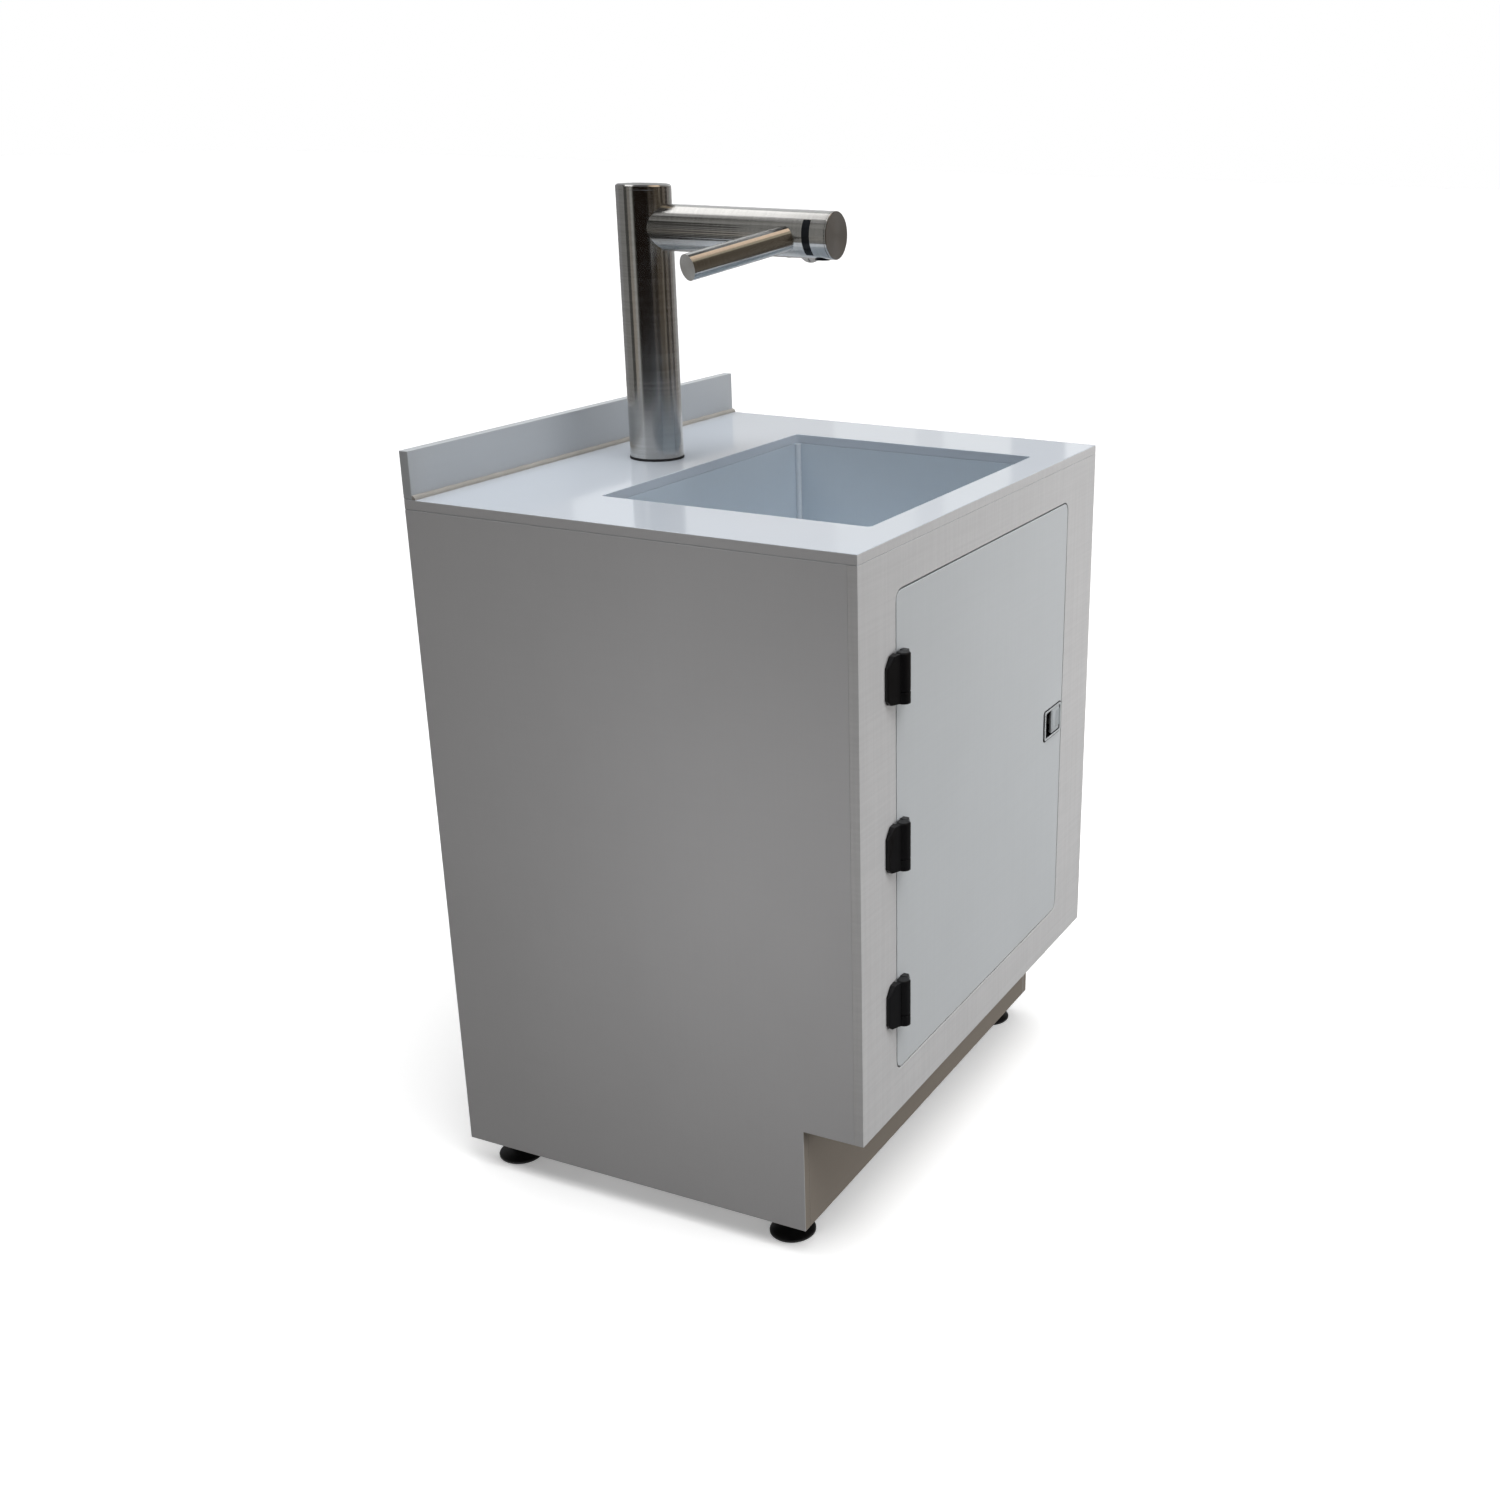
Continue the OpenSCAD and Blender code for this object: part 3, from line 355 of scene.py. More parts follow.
def turned_face(name, colour, rough, axis, centre):
    """A flat metal end that was turned on a lathe: fine rings about its centre."""
    rings_per_metre = 1100
    g = Graph(name)
    x, y, z = g.split(g.place())
    flat = {"X": (y, z), "Y": (x, z), "Z": (x, y)}[axis]
    offsets = [g.math("SUBTRACT", value, origin) for value, origin in zip(flat, centre)]
    squares = [g.math("MULTIPLY", value, value) for value in offsets]
    radius = g.math("SQRT", g.math("ADD", *squares), 0)
    ring = g.noise(g.join(g.math("MULTIPLY", radius, rings_per_metre), 0, 0), scale=1)
    g.link(g.blend(ring, shade(colour, 0.93), shade(colour, 1.03)), "Base Color")
    g.link(g.spread(ring, rough - 0.01, rough + 0.02), "Roughness")
    g.brush_round(axis, 0.7)
    return g.material


def cast_metal(name, colour, rough):
    """Cast or plated metal with a fine grain and slightly uneven plating."""
    g = Graph(name)
    cloud = g.noise(g.place(), scale=45, detail=3)
    g.link(g.blend(g.spread(cloud), shade(colour, 0.9), shade(colour, 1.05)), "Base Color")
    patches = g.noise(g.place(), scale=160, detail=3)
    g.link(g.spread(patches, rough - 0.05, rough + 0.08), "Roughness")
    g.link(g.bump(g.noise(g.place(), scale=900), 0.00004), "Normal")
    g.set({"Metallic": 1})
    return g.material


def moulded(name, colour, rough, grain=1400, depth=0.00005, rubbed=1.35):
    """Moulded plastic with a fine spark-eroded grain and paler rubbed spots."""
    g = Graph(name)
    cloud = g.noise(g.place(), scale=60, detail=3)
    worn = g.spread(cloud, low=0.35, high=0.75)
    g.link(g.blend(worn, colour, shade(colour, rubbed)), "Base Color")
    patches = g.noise(g.place(), scale=240, detail=3)
    g.link(g.spread(patches, rough - 0.05, rough + 0.07), "Roughness")
    g.link(g.bump(g.noise(g.place(), grain), depth), "Normal")
    g.set({"IOR": 1.5, "Specular IOR Level": 0.35})
    return g.material


def rubber(name, colour):
    """Dull rubber with dust in its pores."""
    g = Graph(name)
    pores = g.noise(g.place(), scale=900, detail=3)
    dust = g.spread(pores, low=0.45, high=0.8)
    g.link(g.blend(dust, colour, shade(colour, 2.2)), "Base Color")
    g.link(g.spread(pores, 0.62, 0.8), "Roughness")
    g.link(g.bump(pores, 0.00006), "Normal")
    return g.material


def sealant(name, colour):
    """Silicone bead, slightly uneven and glossy."""
    g = Graph(name)
    cloud = g.noise(g.place((1, 4, 4)), scale=40, detail=3)
    g.link(g.blend(g.spread(cloud), shade(colour, 0.9), shade(colour, 1.05)), "Base Color")
    g.link(g.bump(cloud, 0.0004), "Normal")
    g.set({"Roughness": 0.35})
    return g.material


def braid(name, colour):
    """Woven steel braid: two crossed families of strands round the hose."""
    strands = 2600
    g = Graph(name)
    x, y, z = g.split(g.place())
    run = g.math("ADD", z, x)
    left = g.math("SINE", g.math("MULTIPLY", g.math("ADD", run, y), strands), 0)
    right = g.math("SINE", g.math("MULTIPLY", g.math("SUBTRACT", run, y), strands), 0)
    weave = g.math("MULTIPLY", left, right)
    g.link(g.blend(g.spread(weave, low=-1, high=1), shade(colour, 0.45), colour), "Base Color")
    g.link(g.bump(weave, 0.0004), "Normal")
    g.set({"Metallic": 1, "Roughness": 0.32})
    return g.material


def dark_glass(name, colour):
    """Glossy infrared window."""
    g = Graph(name)
    cloud = g.noise(g.place(), scale=90)
    g.link(g.blend(cloud, colour, shade(colour, 1.6)), "Base Color")
    g.link(g.spread(cloud, 0.1, 0.16), "Roughness")
    g.set({"IOR": 1.5, "Specular IOR Level": 0.2})
    return g.material


STEEL = (0.58, 0.57, 0.552, 1)

# One material for each slot of the record
MATERIALS = {
    "sheet_side": sheet_plastic("sheet_side", srgb(204, 204, 206), 0.36, linen=0.05),
    "sheet_front": sheet_plastic("sheet_front", srgb(208, 208, 209), 0.33, linen=0.32),
    "sheet_top": sheet_plastic("sheet_top", srgb(205, 212, 221), 0.09, wave=0.0002),
    "sheet_basin": sheet_plastic("sheet_basin", srgb(208, 218, 227), 0.31, linen=0.04),
    "sheet_door": sheet_plastic("sheet_door", srgb(203, 207, 210), 0.31, linen=0.09),
    "sheet_kick": sheet_plastic("sheet_kick", srgb(146, 137, 127), 0.42, linen=0.08),
    "sealant": sealant("sealant", srgb(176, 172, 166)),
    "block": moulded("block", srgb(205, 203, 198), 0.5, grain=500, rubbed=1.05),
    "hinge": moulded("hinge", srgb(15, 15, 17), 0.36),
    "stainless": brushed("stainless", STEEL, 0.165, "Z"),
    "zinc": cast_metal("zinc", (0.62, 0.62, 0.6, 1), 0.38),
    "bezel": moulded("bezel", srgb(190, 194, 196), 0.34, rubbed=1.06),
    "latch_dark": moulded("latch_dark", srgb(16, 16, 18), 0.3),
    "slider": moulded("slider", srgb(184, 189, 192), 0.34, rubbed=1.06),
    "gasket": rubber("gasket", (0.012, 0.012, 0.013, 1)),
    "window": dark_glass("window", (0.006, 0.007, 0.009, 1)),
    "hose_grey": moulded("hose_grey", srgb(86, 88, 90), 0.5, rubbed=1.15),
    "braid": braid("braid", (0.7, 0.7, 0.69, 1)),
    "motor": moulded("motor", srgb(34, 35, 38), 0.42, grain=700, depth=0.0001),
    "valve": cast_metal("valve", (0.72, 0.71, 0.69, 1), 0.18),
    "handle": moulded("handle", srgb(150, 30, 26), 0.34, rubbed=1.12),
    "drain_white": moulded("drain_white", srgb(222, 221, 216), 0.36, 600, 0.00003, rubbed=1.04),
    "foot": moulded("foot", srgb(14, 14, 15), 0.4, grain=900, depth=0.00008),
}
# Lighter copy of the basin sheet for the weld beads: painted highlight.
WELD_HIGHLIGHT = sheet_plastic("sheet_weld_highlight", srgb(226, 232, 238), 0.31, linen=0.04)
# Darker copy of the sheet colour for the backsplash: painted shade.
SPLASH_SHADED = sheet_plastic("sheet_splash_shaded", srgb(193, 197, 201), 0.3, linen=0.04)
STEEL_SPOUT = brushed("stainless_spout", STEEL, 0.165, "Y")
STEEL_DISC = turned_face("stainless_disc", STEEL, 0.3, "Y", (TAP_X, SPOUT_Z))
# Darker copy of the steel for the cap's top face: painted shade.
STEEL_CAP_SHADED = turned_face("stainless_cap_shaded", shade(STEEL, 0.42), 0.3, "Z", (TAP_X, TAP_Y))
# Lighter copy of the steel for the arms' ends: painted highlight.
STEEL_ARM_END_LIT = turned_face("stainless_arm_end_lit", shade(STEEL, 1.5), 0.32, "Z", (0, 0))

# The record's material slot and body of each node
SLOTS = {s["node"]: s["material_slot"] for s in frame["record"]["subparts"]}
BODIES = {n: b for b, members in frame["record"]["behaviour"]["bodies"].items() for n in members}


# Helpers for pieces and meshes
def finish_piece(obj, node=None, body=None, slot=None, material=None):
    """Gives a piece its slot's material and its body, and hides the node that it stands for."""
    slot = slot or SLOTS[node]
    obj.data.materials.clear()
    obj.data.materials.append(material or MATERIALS[slot])
    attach(obj, body or BODIES[node])
    if node:
        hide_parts(node)
    return obj


def beside(obj, node, slot=None, material=None):
    """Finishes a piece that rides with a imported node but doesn't stand for it."""
    return finish_piece(obj, body=BODIES[node], slot=slot or SLOTS[node], material=material)


def mesh_object(name, bm):
    """A new object from a bmesh."""
    mesh = bpy.data.meshes.new(name)
    bm.to_mesh(mesh)
    bm.free()
    obj = bpy.data.objects.new(name, mesh)
    bpy.context.scene.collection.objects.link(obj)
    return obj


def smooth(obj, angle=35):
    """Smooth shading, with edges sharper than the angle kept."""
    for face in obj.data.polygons:
        face.use_smooth = True
    obj.data.set_sharp_from_angle(angle=math.radians(angle))
    return obj


def even_normals(obj):
    """Lets the large faces keep their own direction up to the rounded edges."""
    obj.modifiers.new("normals", "WEIGHTED_NORMAL").keep_sharp = True
    return obj


def node_bmesh(node):
    """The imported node's mesh with its doubled corners joined."""
    bm = bmesh.new()
    bm.from_mesh(frame["nodes"][node].data)
    bmesh.ops.remove_doubles(bm, verts=bm.verts, dist=NODE_JOIN)
    return bm


def round_edges(bm, width, segments):
    """Joins the triangles of flat faces, then rounds every sharp edge."""
    bmesh.ops.dissolve_limit(bm, angle_limit=math.radians(FLAT_ANGLE), verts=bm.verts, edges=bm.edges)
    sharp = [e for e in bm.edges if len(e.link_faces) == 2
             and e.calc_face_angle(0) > math.radians(SHARP_ANGLE)]
    bmesh.ops.bevel(bm, geom=sharp, offset=width, offset_type="OFFSET", segments=segments,
                    profile=0.5, affect="EDGES", clamp_overlap=True)


def soften(node, width, segments=2):
    """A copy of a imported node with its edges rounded."""
    bm = node_bmesh(node)
    round_edges(bm, width, segments)
    obj = even_normals(smooth(mesh_object(node + "_form", bm)))
    return finish_piece(obj, node)


def smoothed(node, material=None, turn=None, origin=None):
    """A smooth-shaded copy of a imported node, if wanted with its own axes for the brush lines."""
    obj = smooth(mesh_object(node + "_form", node_bmesh(node)), 40)
    if turn is not None:
        place = Matrix.Translation(origin) @ turn
        obj.data.transform(place.inverted())
        obj.matrix_world = place
    return finish_piece(obj, node, material=material)


def rounded_loop(w, h, r, steps=8):
    """Corner points of a rounded rectangle about the origin, anticlockwise."""
    points = []
    for quarter, (sx, sy) in enumerate(((1, 1), (-1, 1), (-1, -1), (1, -1))):
        for i in range(steps + 1):
            a = math.radians(90 * (quarter + i / steps))
            points.append((sx * (w / 2 - r) + r * math.cos(a), sy * (h / 2 - r) + r * math.sin(a)))
    return points


def circle_loop(x, y, r, steps=48):
    """Points of a circle."""
    return [(x + r * math.cos(2 * math.pi * i / steps), y + r * math.sin(2 * math.pi * i / steps))
            for i in range(steps)]


def shifted(points, x, y):
    """Points moved."""
    return [(px + x, py + y) for px, py in points]


def plate(name, loops, thickness, edge, place):
    """A flat plate with openings and rounded edges; its middle plane is XY of the given place."""
    curve = bpy.data.curves.new(name, "CURVE")
    curve.dimensions = "2D"
    curve.fill_mode = "BOTH"
    curve.extrude = thickness / 2 - edge
    curve.bevel_depth = edge
    curve.bevel_resolution = 2
    curve.offset = -edge
    for loop in loops:
        spline = curve.splines.new("POLY")
        spline.points.add(len(loop) - 1)
        for point, (x, y) in zip(spline.points, loop):
            point.co = (x, y, 0, 1)
        spline.use_cyclic_u = True
    holder = bpy.data.objects.new(name, curve)
    bpy.context.scene.collection.objects.link(holder)
    holder.matrix_world = place
    bpy.context.view_layer.update()
    graph = bpy.context.evaluated_depsgraph_get()
    mesh = bpy.data.meshes.new_from_object(holder.evaluated_get(graph))
    bpy.data.objects.remove(holder)
    obj = bpy.data.objects.new(name, mesh)
    bpy.context.scene.collection.objects.link(obj)
    mesh.transform(place)
    bm = bmesh.new()
    bm.from_mesh(mesh)
    bmesh.ops.remove_doubles(bm, verts=bm.verts, dist=PLATE_JOIN)
    bm.to_mesh(mesh)
    bm.free()
    return even_normals(smooth(obj))


def upright(x, y, z):
    """Place of a plate that stands in X and Z, facing the front."""
    return Matrix.Translation((x, y, z)) @ Matrix.Rotation(math.radians(90), 4, "X")


def skin(bm, rings):
    """Faces between rings of corners that follow one another, and across both ends."""
    for a, b in zip(rings, rings[1:]):
        for i in range(len(a)):
            j = (i + 1) % len(a)
            bm.faces.new((a[i], a[j], b[j], b[i]))
    bm.faces.new(list(reversed(rings[0])))
    bm.faces.new(rings[-1])


def sweep(name, steps, ring):
    """A solid from step 0 to the last; ring gives the section's points at a step."""
    bm = bmesh.new()
    rings = []
    for i in range(steps + 1):
        rings.append([bm.verts.new(point) for point in ring(i)])
    skin(bm, rings)
    bmesh.ops.recalc_face_normals(bm, faces=bm.faces)
    return mesh_object(name, bm)


# The cabinet's sheets
def worktop_sheet():
    """The worktop with its two openings; its rims match the sheets that they meet."""
    rim = 1 * MM
    x, y, z = middle(TOP_LOW, TOP_HIGH)
    size = TOP_HIGH - TOP_LOW
    outer = rounded_loop(size.x, size.y, rim, 2)
    basin = shifted(rounded_loop(BASIN_W, BASIN_L, BASIN_CORNER), TAP_X - x, BASIN_Y - y)
    hole = circle_loop(TAP_X - x, TAP_Y - y, SHANK_HOLE_R)
    place = Matrix.Translation((x, y, z))
    obj = plate("worktop_form", [outer, basin, hole], size.z, TOP_EDGE, place)
    finish_piece(obj, "worktop")
    obj.data.materials.append(MATERIALS["sheet_front"])
    obj.data.materials.append(MATERIALS["sheet_side"])
    for face in obj.data.polygons:
        if abs(face.normal.y) > 0.9 and abs(face.center.y - y) > size.y / 2 - rim:
            face.material_index = 1
        if abs(face.normal.x) > 0.9 and abs(face.center.x - x) > size.x / 2 - rim:
            face.material_index = 2


def front_frame_sheet():
    """The front frame with its door opening."""
    x, y, z = middle(FRAME_LOW, FRAME_HIGH)
    door_x, _, door_z = middle(DOOR_LOW, DOOR_HIGH)
    size = FRAME_HIGH - FRAME_LOW
    door = DOOR_HIGH - DOOR_LOW
    outer = rounded_loop(size.x, size.z, SHEET_EDGE, 2)
    opening = rounded_loop(door.x + 2 * DOOR_GAP, door.z + 2 * DOOR_GAP, OPENING_CORNER)
    opening = shifted(opening, door_x - x, door_z - z)
    obj = plate("front_frame_form", [outer, opening], size.y, FRAME_EDGE, upright(x, y, z))
    finish_piece(obj, "front_frame")


def door_sheet():
    """The door panel with the hole for the latch's case."""
    x, y, z = middle(DOOR_LOW, DOOR_HIGH)
    cup_x, _, cup_z = middle(CUP_LOW, CUP_HIGH)
    size = DOOR_HIGH - DOOR_LOW
    cup = CUP_HIGH - CUP_LOW
    outer = rounded_loop(size.x, size.z, DOOR_CORNER)
    hole = rounded_loop(cup.x + CUP_CLEAR, cup.z + CUP_CLEAR, CUP_CORNER, 2)
    hole = shifted(hole, cup_x - x, cup_z - z)
    obj = plate("door_panel_form", [outer, hole], size.y, DOOR_EDGE, upright(x, y, z))
    finish_piece(obj, "door_panel")


# The latch
def bezel_rim():
    """Pale rim on a dark seat whose border is a painted shadow line round the rim's outside; a dark line
    also runs round it inside.
    """
    x, _, z = middle(BEZEL_LOW, BEZEL_HIGH)
    size = BEZEL_HIGH - BEZEL_LOW
    # The dark seat: its border round the rim is painted shadow.
    outer = rounded_loop(size.x, size.z, SHADOW_SEAT_CORNER)
    inner = rounded_loop(*SHADOW_SEAT_OPENING)
    place = upright(x, BEZEL_HIGH.y - SHADOW_SEAT_T / 2, z)
    shadow_seat = plate("latch_shadow_seat", [outer, inner], SHADOW_SEAT_T, SHADOW_SEAT_EDGE, place)
    beside(shadow_seat, "latch_bezel", slot="latch_dark")
    outer = rounded_loop(size.x - 2 * RIM_INSET, size.z - 2 * RIM_INSET, RIM_CORNER)
    inner = rounded_loop(*RIM_OPENING)
    place = upright(x, BEZEL_LOW.y + RIM_T / 2, z)
    finish_piece(plate("latch_bezel_form", [outer, inner], RIM_T, RIM_EDGE, place), "latch_bezel")


def slider_form():
    """The latch slider, with a dark gap all round its plate and ribs for the thumb."""
    bm = node_bmesh("latch_slider")
    x, _, z = middle(*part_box("latch_slider"))
    for vert in bm.verts:
        if vert.co.y < DOOR_LOW.y + SLIDER_PLATE_T:
            if vert.co.x < x - SLIDER_SIDE:
                vert.co.x += THUMB_GAP
            if vert.co.x > x + SLIDER_SIDE:
                vert.co.x -= SLIDER_GAP_RIGHT
            if abs(vert.co.z - z) > SLIDER_SIDE:
                vert.co.z -= math.copysign(SLIDER_GAP, vert.co.z - z)
    round_edges(bm, SLIDER_EDGE, 2)
    finish_piece(smooth(mesh_object("latch_slider_form", bm)), "latch_slider")
    for i in range(RIBS):
        loop = rounded_loop(RIB_W, RIB_L, RIB_CORNER, 4)
        place = upright(x + RIB_FROM + i * RIB_STEP, DOOR_LOW.y - RIB_T / 2, z)
        beside(plate("latch_rib_%d" % i, [loop], RIB_T, RIB_EDGE, place), "latch_slider")


def latch_spring_form():
    """The latch spring, smooth-shaded and with a mesh of its own; nothing here shortens it towards the
    bolt when the slider moves.
    """
    spring = smoothed("latch_spring")
    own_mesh(spring)


# Hinges, beads, threads, screws
def cut_corner(bm, corner, side, up, run, drop):
    """Cuts a corner off slantwise; side and up say which way it points."""
    point = corner - Vector((side * run, 0, 0))
    normal = Vector((side * drop, 0, up * run)).normalized()
    geom = list(bm.verts) + list(bm.edges) + list(bm.faces)
    cut = bmesh.ops.bisect_plane(bm, geom=geom, plane_co=point, plane_no=normal, clear_outer=True)
    edges = [e for e in cut["geom_cut"] if isinstance(e, bmesh.types.BMEdge)]
    bmesh.ops.holes_fill(bm, edges=edges)


def hinge_leaf(node, side):
    """A hinge leaf with its two free corners cut off slantwise and all its edges rounded."""
    bm = node_bmesh(node)
    low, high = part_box(node)
    free_x = low.x if side < 0 else high.x
    cut_corner(bm, Vector((free_x, 0, high.z)), side, 1, LEAF_TOP_RUN, LEAF_TOP_DROP)
    cut_corner(bm, Vector((free_x, 0, low.z)), side, -1, LEAF_FOOT_RUN, LEAF_FOOT_DROP)
    round_edges(bm, LEAF_EDGE, 3)
    finish_piece(even_normals(smooth(mesh_object(node + "_form", bm))), node)


def ripple(i, fast, slow):
    """An uneven wave, from -1 to 1, along the steps of a bead."""
    return math.sin(i * fast) * math.cos(i * slow)


def rod(name, start, end, radius, uneven=0.0):
    """A round bead from one point to another, with a slightly uneven radius."""
    sides = 16
    step = 2.5 * MM
    along = end - start
    turn = along.to_track_quat("Z", "Y").to_matrix()
    steps = max(2, round(along.length / step))

    def ring(i):
        r = radius * (1 + uneven * ripple(i, 1.9, 0.37))
        centre = start + along * i / steps
        return [centre + turn @ Vector((r * math.cos(a), r * math.sin(a), 0))
                for a in (2 * math.pi * k / sides for k in range(sides))]
    return smooth(sweep(name, steps, ring), 50)


def basin_welds():
    """Weld beads in the basin's four upright corners, lighter than the basin sheet: painted highlight."""
    for i, (sx, sy) in enumerate(((-1, -1), (1, -1), (1, 1), (-1, 1))):
        x = TAP_X + sx * (BASIN_W / 2 - WELD_IN)
        y = BASIN_Y + sy * (BASIN_L / 2 - WELD_IN)
        foot = Vector((x, y, BASIN_FLOOR_Z + 2 * MM))
        head = Vector((x, y, TOP_LOW.z - 1 * MM))
        beside(rod("basin_weld_%d" % i, foot, head, WELD_R, WELD_UNEVEN), "basin", material=WELD_HIGHLIGHT)


def splash_bead():
    """Sealant bead in the corner between worktop and backsplash, quarter round and a little uneven."""
    low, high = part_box("backsplash_bead")
    uneven = 0.06
    steps = 140
    arc_steps = 6

    def ring(i):
        x = low.x + (high.x - low.x) * i / steps
        r = (high.y - low.y) * (1 - uneven + uneven * ripple(i, 0.9, 0.23))
        arc = [Vector((x, high.y - r * math.cos(a), low.z + r * math.sin(a)))
               for a in (math.pi / 2 * k / arc_steps for k in range(arc_steps + 1))]
        return arc + [Vector((x, high.y, low.z))]
    finish_piece(smooth(sweep("backsplash_bead_form", steps, ring), 50), "backsplash_bead")


def threaded_stem(node):
    """A levelling foot's stem with its rolled thread and its hexagon."""
    low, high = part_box(node)
    x, y, _ = middle(low, high)
    size = high - low
    sides = 24
    rows_per_turn = 6
    rows = round(size.z / THREAD_PITCH * rows_per_turn)

    def ring(i):
        points = []
        for k in range(sides):
            a = 2 * math.pi * k / sides
            turn = (i / rows_per_turn - k / sides) % 1
            r = STEM_R - THREAD_DEPTH * abs(2 * turn - 1)
            points.append(Vector((x + r * math.cos(a), y + r * math.sin(a), low.z + size.z * i / rows)))
        return points
    finish_piece(smooth(sweep(node + "_thread", rows, ring), 25), node)
    first = 0 if size.x > size.y else 30
    radius = max(size.x, size.y) / 2
    corners = [math.radians(first + 60 * k) for k in range(6)]
    loop = [(radius * math.cos(a), radius * math.sin(a)) for a in corners]
    place = Matrix.Translation((x, y, low.z + HEX_LOW + HEX_H / 2))
    beside(plate(node + "_hexagon", [loop], HEX_H, HEX_EDGE, place), node)


def screw_head(name, place, node):
    """A low domed head on its flat side."""
    rows = 6
    tip_share = 0.12
    bm = bmesh.new()
    rings = []
    for k in range(rows + 1):
        a = math.radians(90 * k / rows)
        r = SCREW_R * math.cos(a) if k < rows else SCREW_R * tip_share
        z = SCREW_H * math.sin(a)
        rings.append([bm.verts.new((r * math.cos(t), r * math.sin(t), z))
                      for t in (2 * math.pi * i / SCREW_SIDES for i in range(SCREW_SIDES))])
    skin(bm, rings)
    head = smooth(mesh_object(name, bm), 50)
    head.data.transform(place)
    beside(head, node, slot="zinc")


def pan_screw(name, at, direction, node):
    """A pan-head screw whose head stands on a surface of a node; its cross recess is two dark bars in the
    head, painted shade.
    """
    place = Matrix.Translation(at) @ direction.to_track_quat("Z", "Y").to_matrix().to_4x4()
    screw_head(name, place, node)
    lift = Matrix.Translation((0, 0, SCREW_H - RECESS_SHADE_DEPTH))
    # Two dark bars across the head: painted shade of the cross recess.
    for i in range(2):
        loop = rounded_loop(RECESS_SHADE_L, RECESS_SHADE_W, RECESS_SHADE_CORNER, 2)
        turn = Matrix.Rotation(math.radians(90 * i), 4, "Z")
        recess_shade = plate("%s_slot_%d" % (name, i), [loop], RECESS_SHADE_T, RECESS_SHADE_EDGE, place @ lift @ turn)
        beside(recess_shade, node, slot="latch_dark")


def keeper_screws():
    """The two screws that hold the keeper plate behind the frame."""
    low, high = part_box("latch_keeper")
    size = high - low
    x, _, z = middle(low, high)
    for i, side in enumerate((-1, 1)):
        at = Vector((x + size.x / 4, high.y, z + side * size.z / 3))
        pan_screw("keeper_screw_%d" % i, at, Vector((0, 1, 0)), "latch_keeper")


# The tap
def arm_turn(side):
    """Axes of a dryer arm: Z runs along the arm, away from the spout."""
    sweep_angle = math.radians(ARM_SWEEP)
    droop = math.radians(ARM_DROOP)
    direction = Vector((side * math.cos(sweep_angle) * math.cos(droop),
                        math.sin(sweep_angle) * math.cos(droop), -math.sin(droop)))
    return direction.to_track_quat("Z", "Y").to_matrix().to_4x4()


def face_material(obj, material, direction, limit=0.98):
    """Gives the flat faces that look along a direction a material of their own."""
    obj.data.materials.append(material)
    for face in obj.data.polygons:
        if face.normal.dot(direction) > limit:
            face.material_index = len(obj.data.materials) - 1
            face.use_smooth = False


def tap():
    """Column, spout, end disc, cap and the two dryer arms; the cap's top is a darker steel (painted
    shade), the arms' ends a lighter steel (painted highlight).
    """
    smoothed("tap_column")
    smoothed("tap_spout", STEEL_SPOUT)
    disc = soften("spout_end_disc", DISC_EDGE, 3)
    disc.data.materials[0] = STEEL_SPOUT
    face_material(disc, STEEL_DISC, Vector((0, -1, 0)))
    # The cap's top face in the darker steel: painted shade.
    cap = soften("tap_cap", CAP_EDGE, 3)
    face_material(cap, STEEL_CAP_SHADED, Vector((0, 0, 1)), 0.9)
    root = Vector((TAP_X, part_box("spout_end_disc")[0].y + ARM_ROOT, SPOUT_Z))
    for side, node in ((-1, "dryer_arm_left"), (1, "dryer_arm_right")):
        arm = smoothed(node, turn=arm_turn(side), origin=root)
        # The arms' ends in the lighter steel: painted highlight.
        face_material(arm, STEEL_ARM_END_LIT, Vector((0, 0, 1)))


def window_strip(bm, side, y):
    """A black strip with round ends along one side of the spout."""
    outer = SPOUT_R + 0.2 * MM
    inner = SPOUT_R - 0.4 * MM
    least_half = 0.2 * MM
    span = math.radians(WINDOW_UP + WINDOW_DOWN)
    steps = 60
    rows = []
    for i in range(steps + 1):
        a = span * i / steps - math.radians(WINDOW_DOWN)
        from_end = min(i, steps - i) / steps * span * SPOUT_R
        left = max(0, WINDOW_HALF - from_end)
        half = max(least_half, math.sqrt(WINDOW_HALF ** 2 - left ** 2))
        rows.append([bm.verts.new((TAP_X + side * r * math.cos(a), y + w, SPOUT_Z + r * math.sin(a)))
                     for r, w in ((inner, -half), (outer, -half), (outer, half), (inner, half))])
    skin(bm, rows)


def sensor_strips():
    """Black sensor windows on both sides of the spout, and the small dot below."""
    dot_t = 1.2 * MM
    dot_up = 0.4 * MM
    low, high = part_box("sensor_windows")
    bm = bmesh.new()
    for side in (-1, 1):
        window_strip(bm, side, low.y + WINDOW_HALF)
    dot = Matrix.Translation((TAP_X, high.y - DOT_R, SPOUT_Z - SPOUT_R + dot_up))
    bmesh.ops.create_cone(bm, segments=24, radius1=DOT_R, radius2=DOT_R, depth=dot_t, cap_ends=True,
                          matrix=dot)
    bmesh.ops.recalc_face_normals(bm, faces=bm.faces)
    finish_piece(smooth(mesh_object("sensor_windows_form", bm), 40), "sensor_windows")


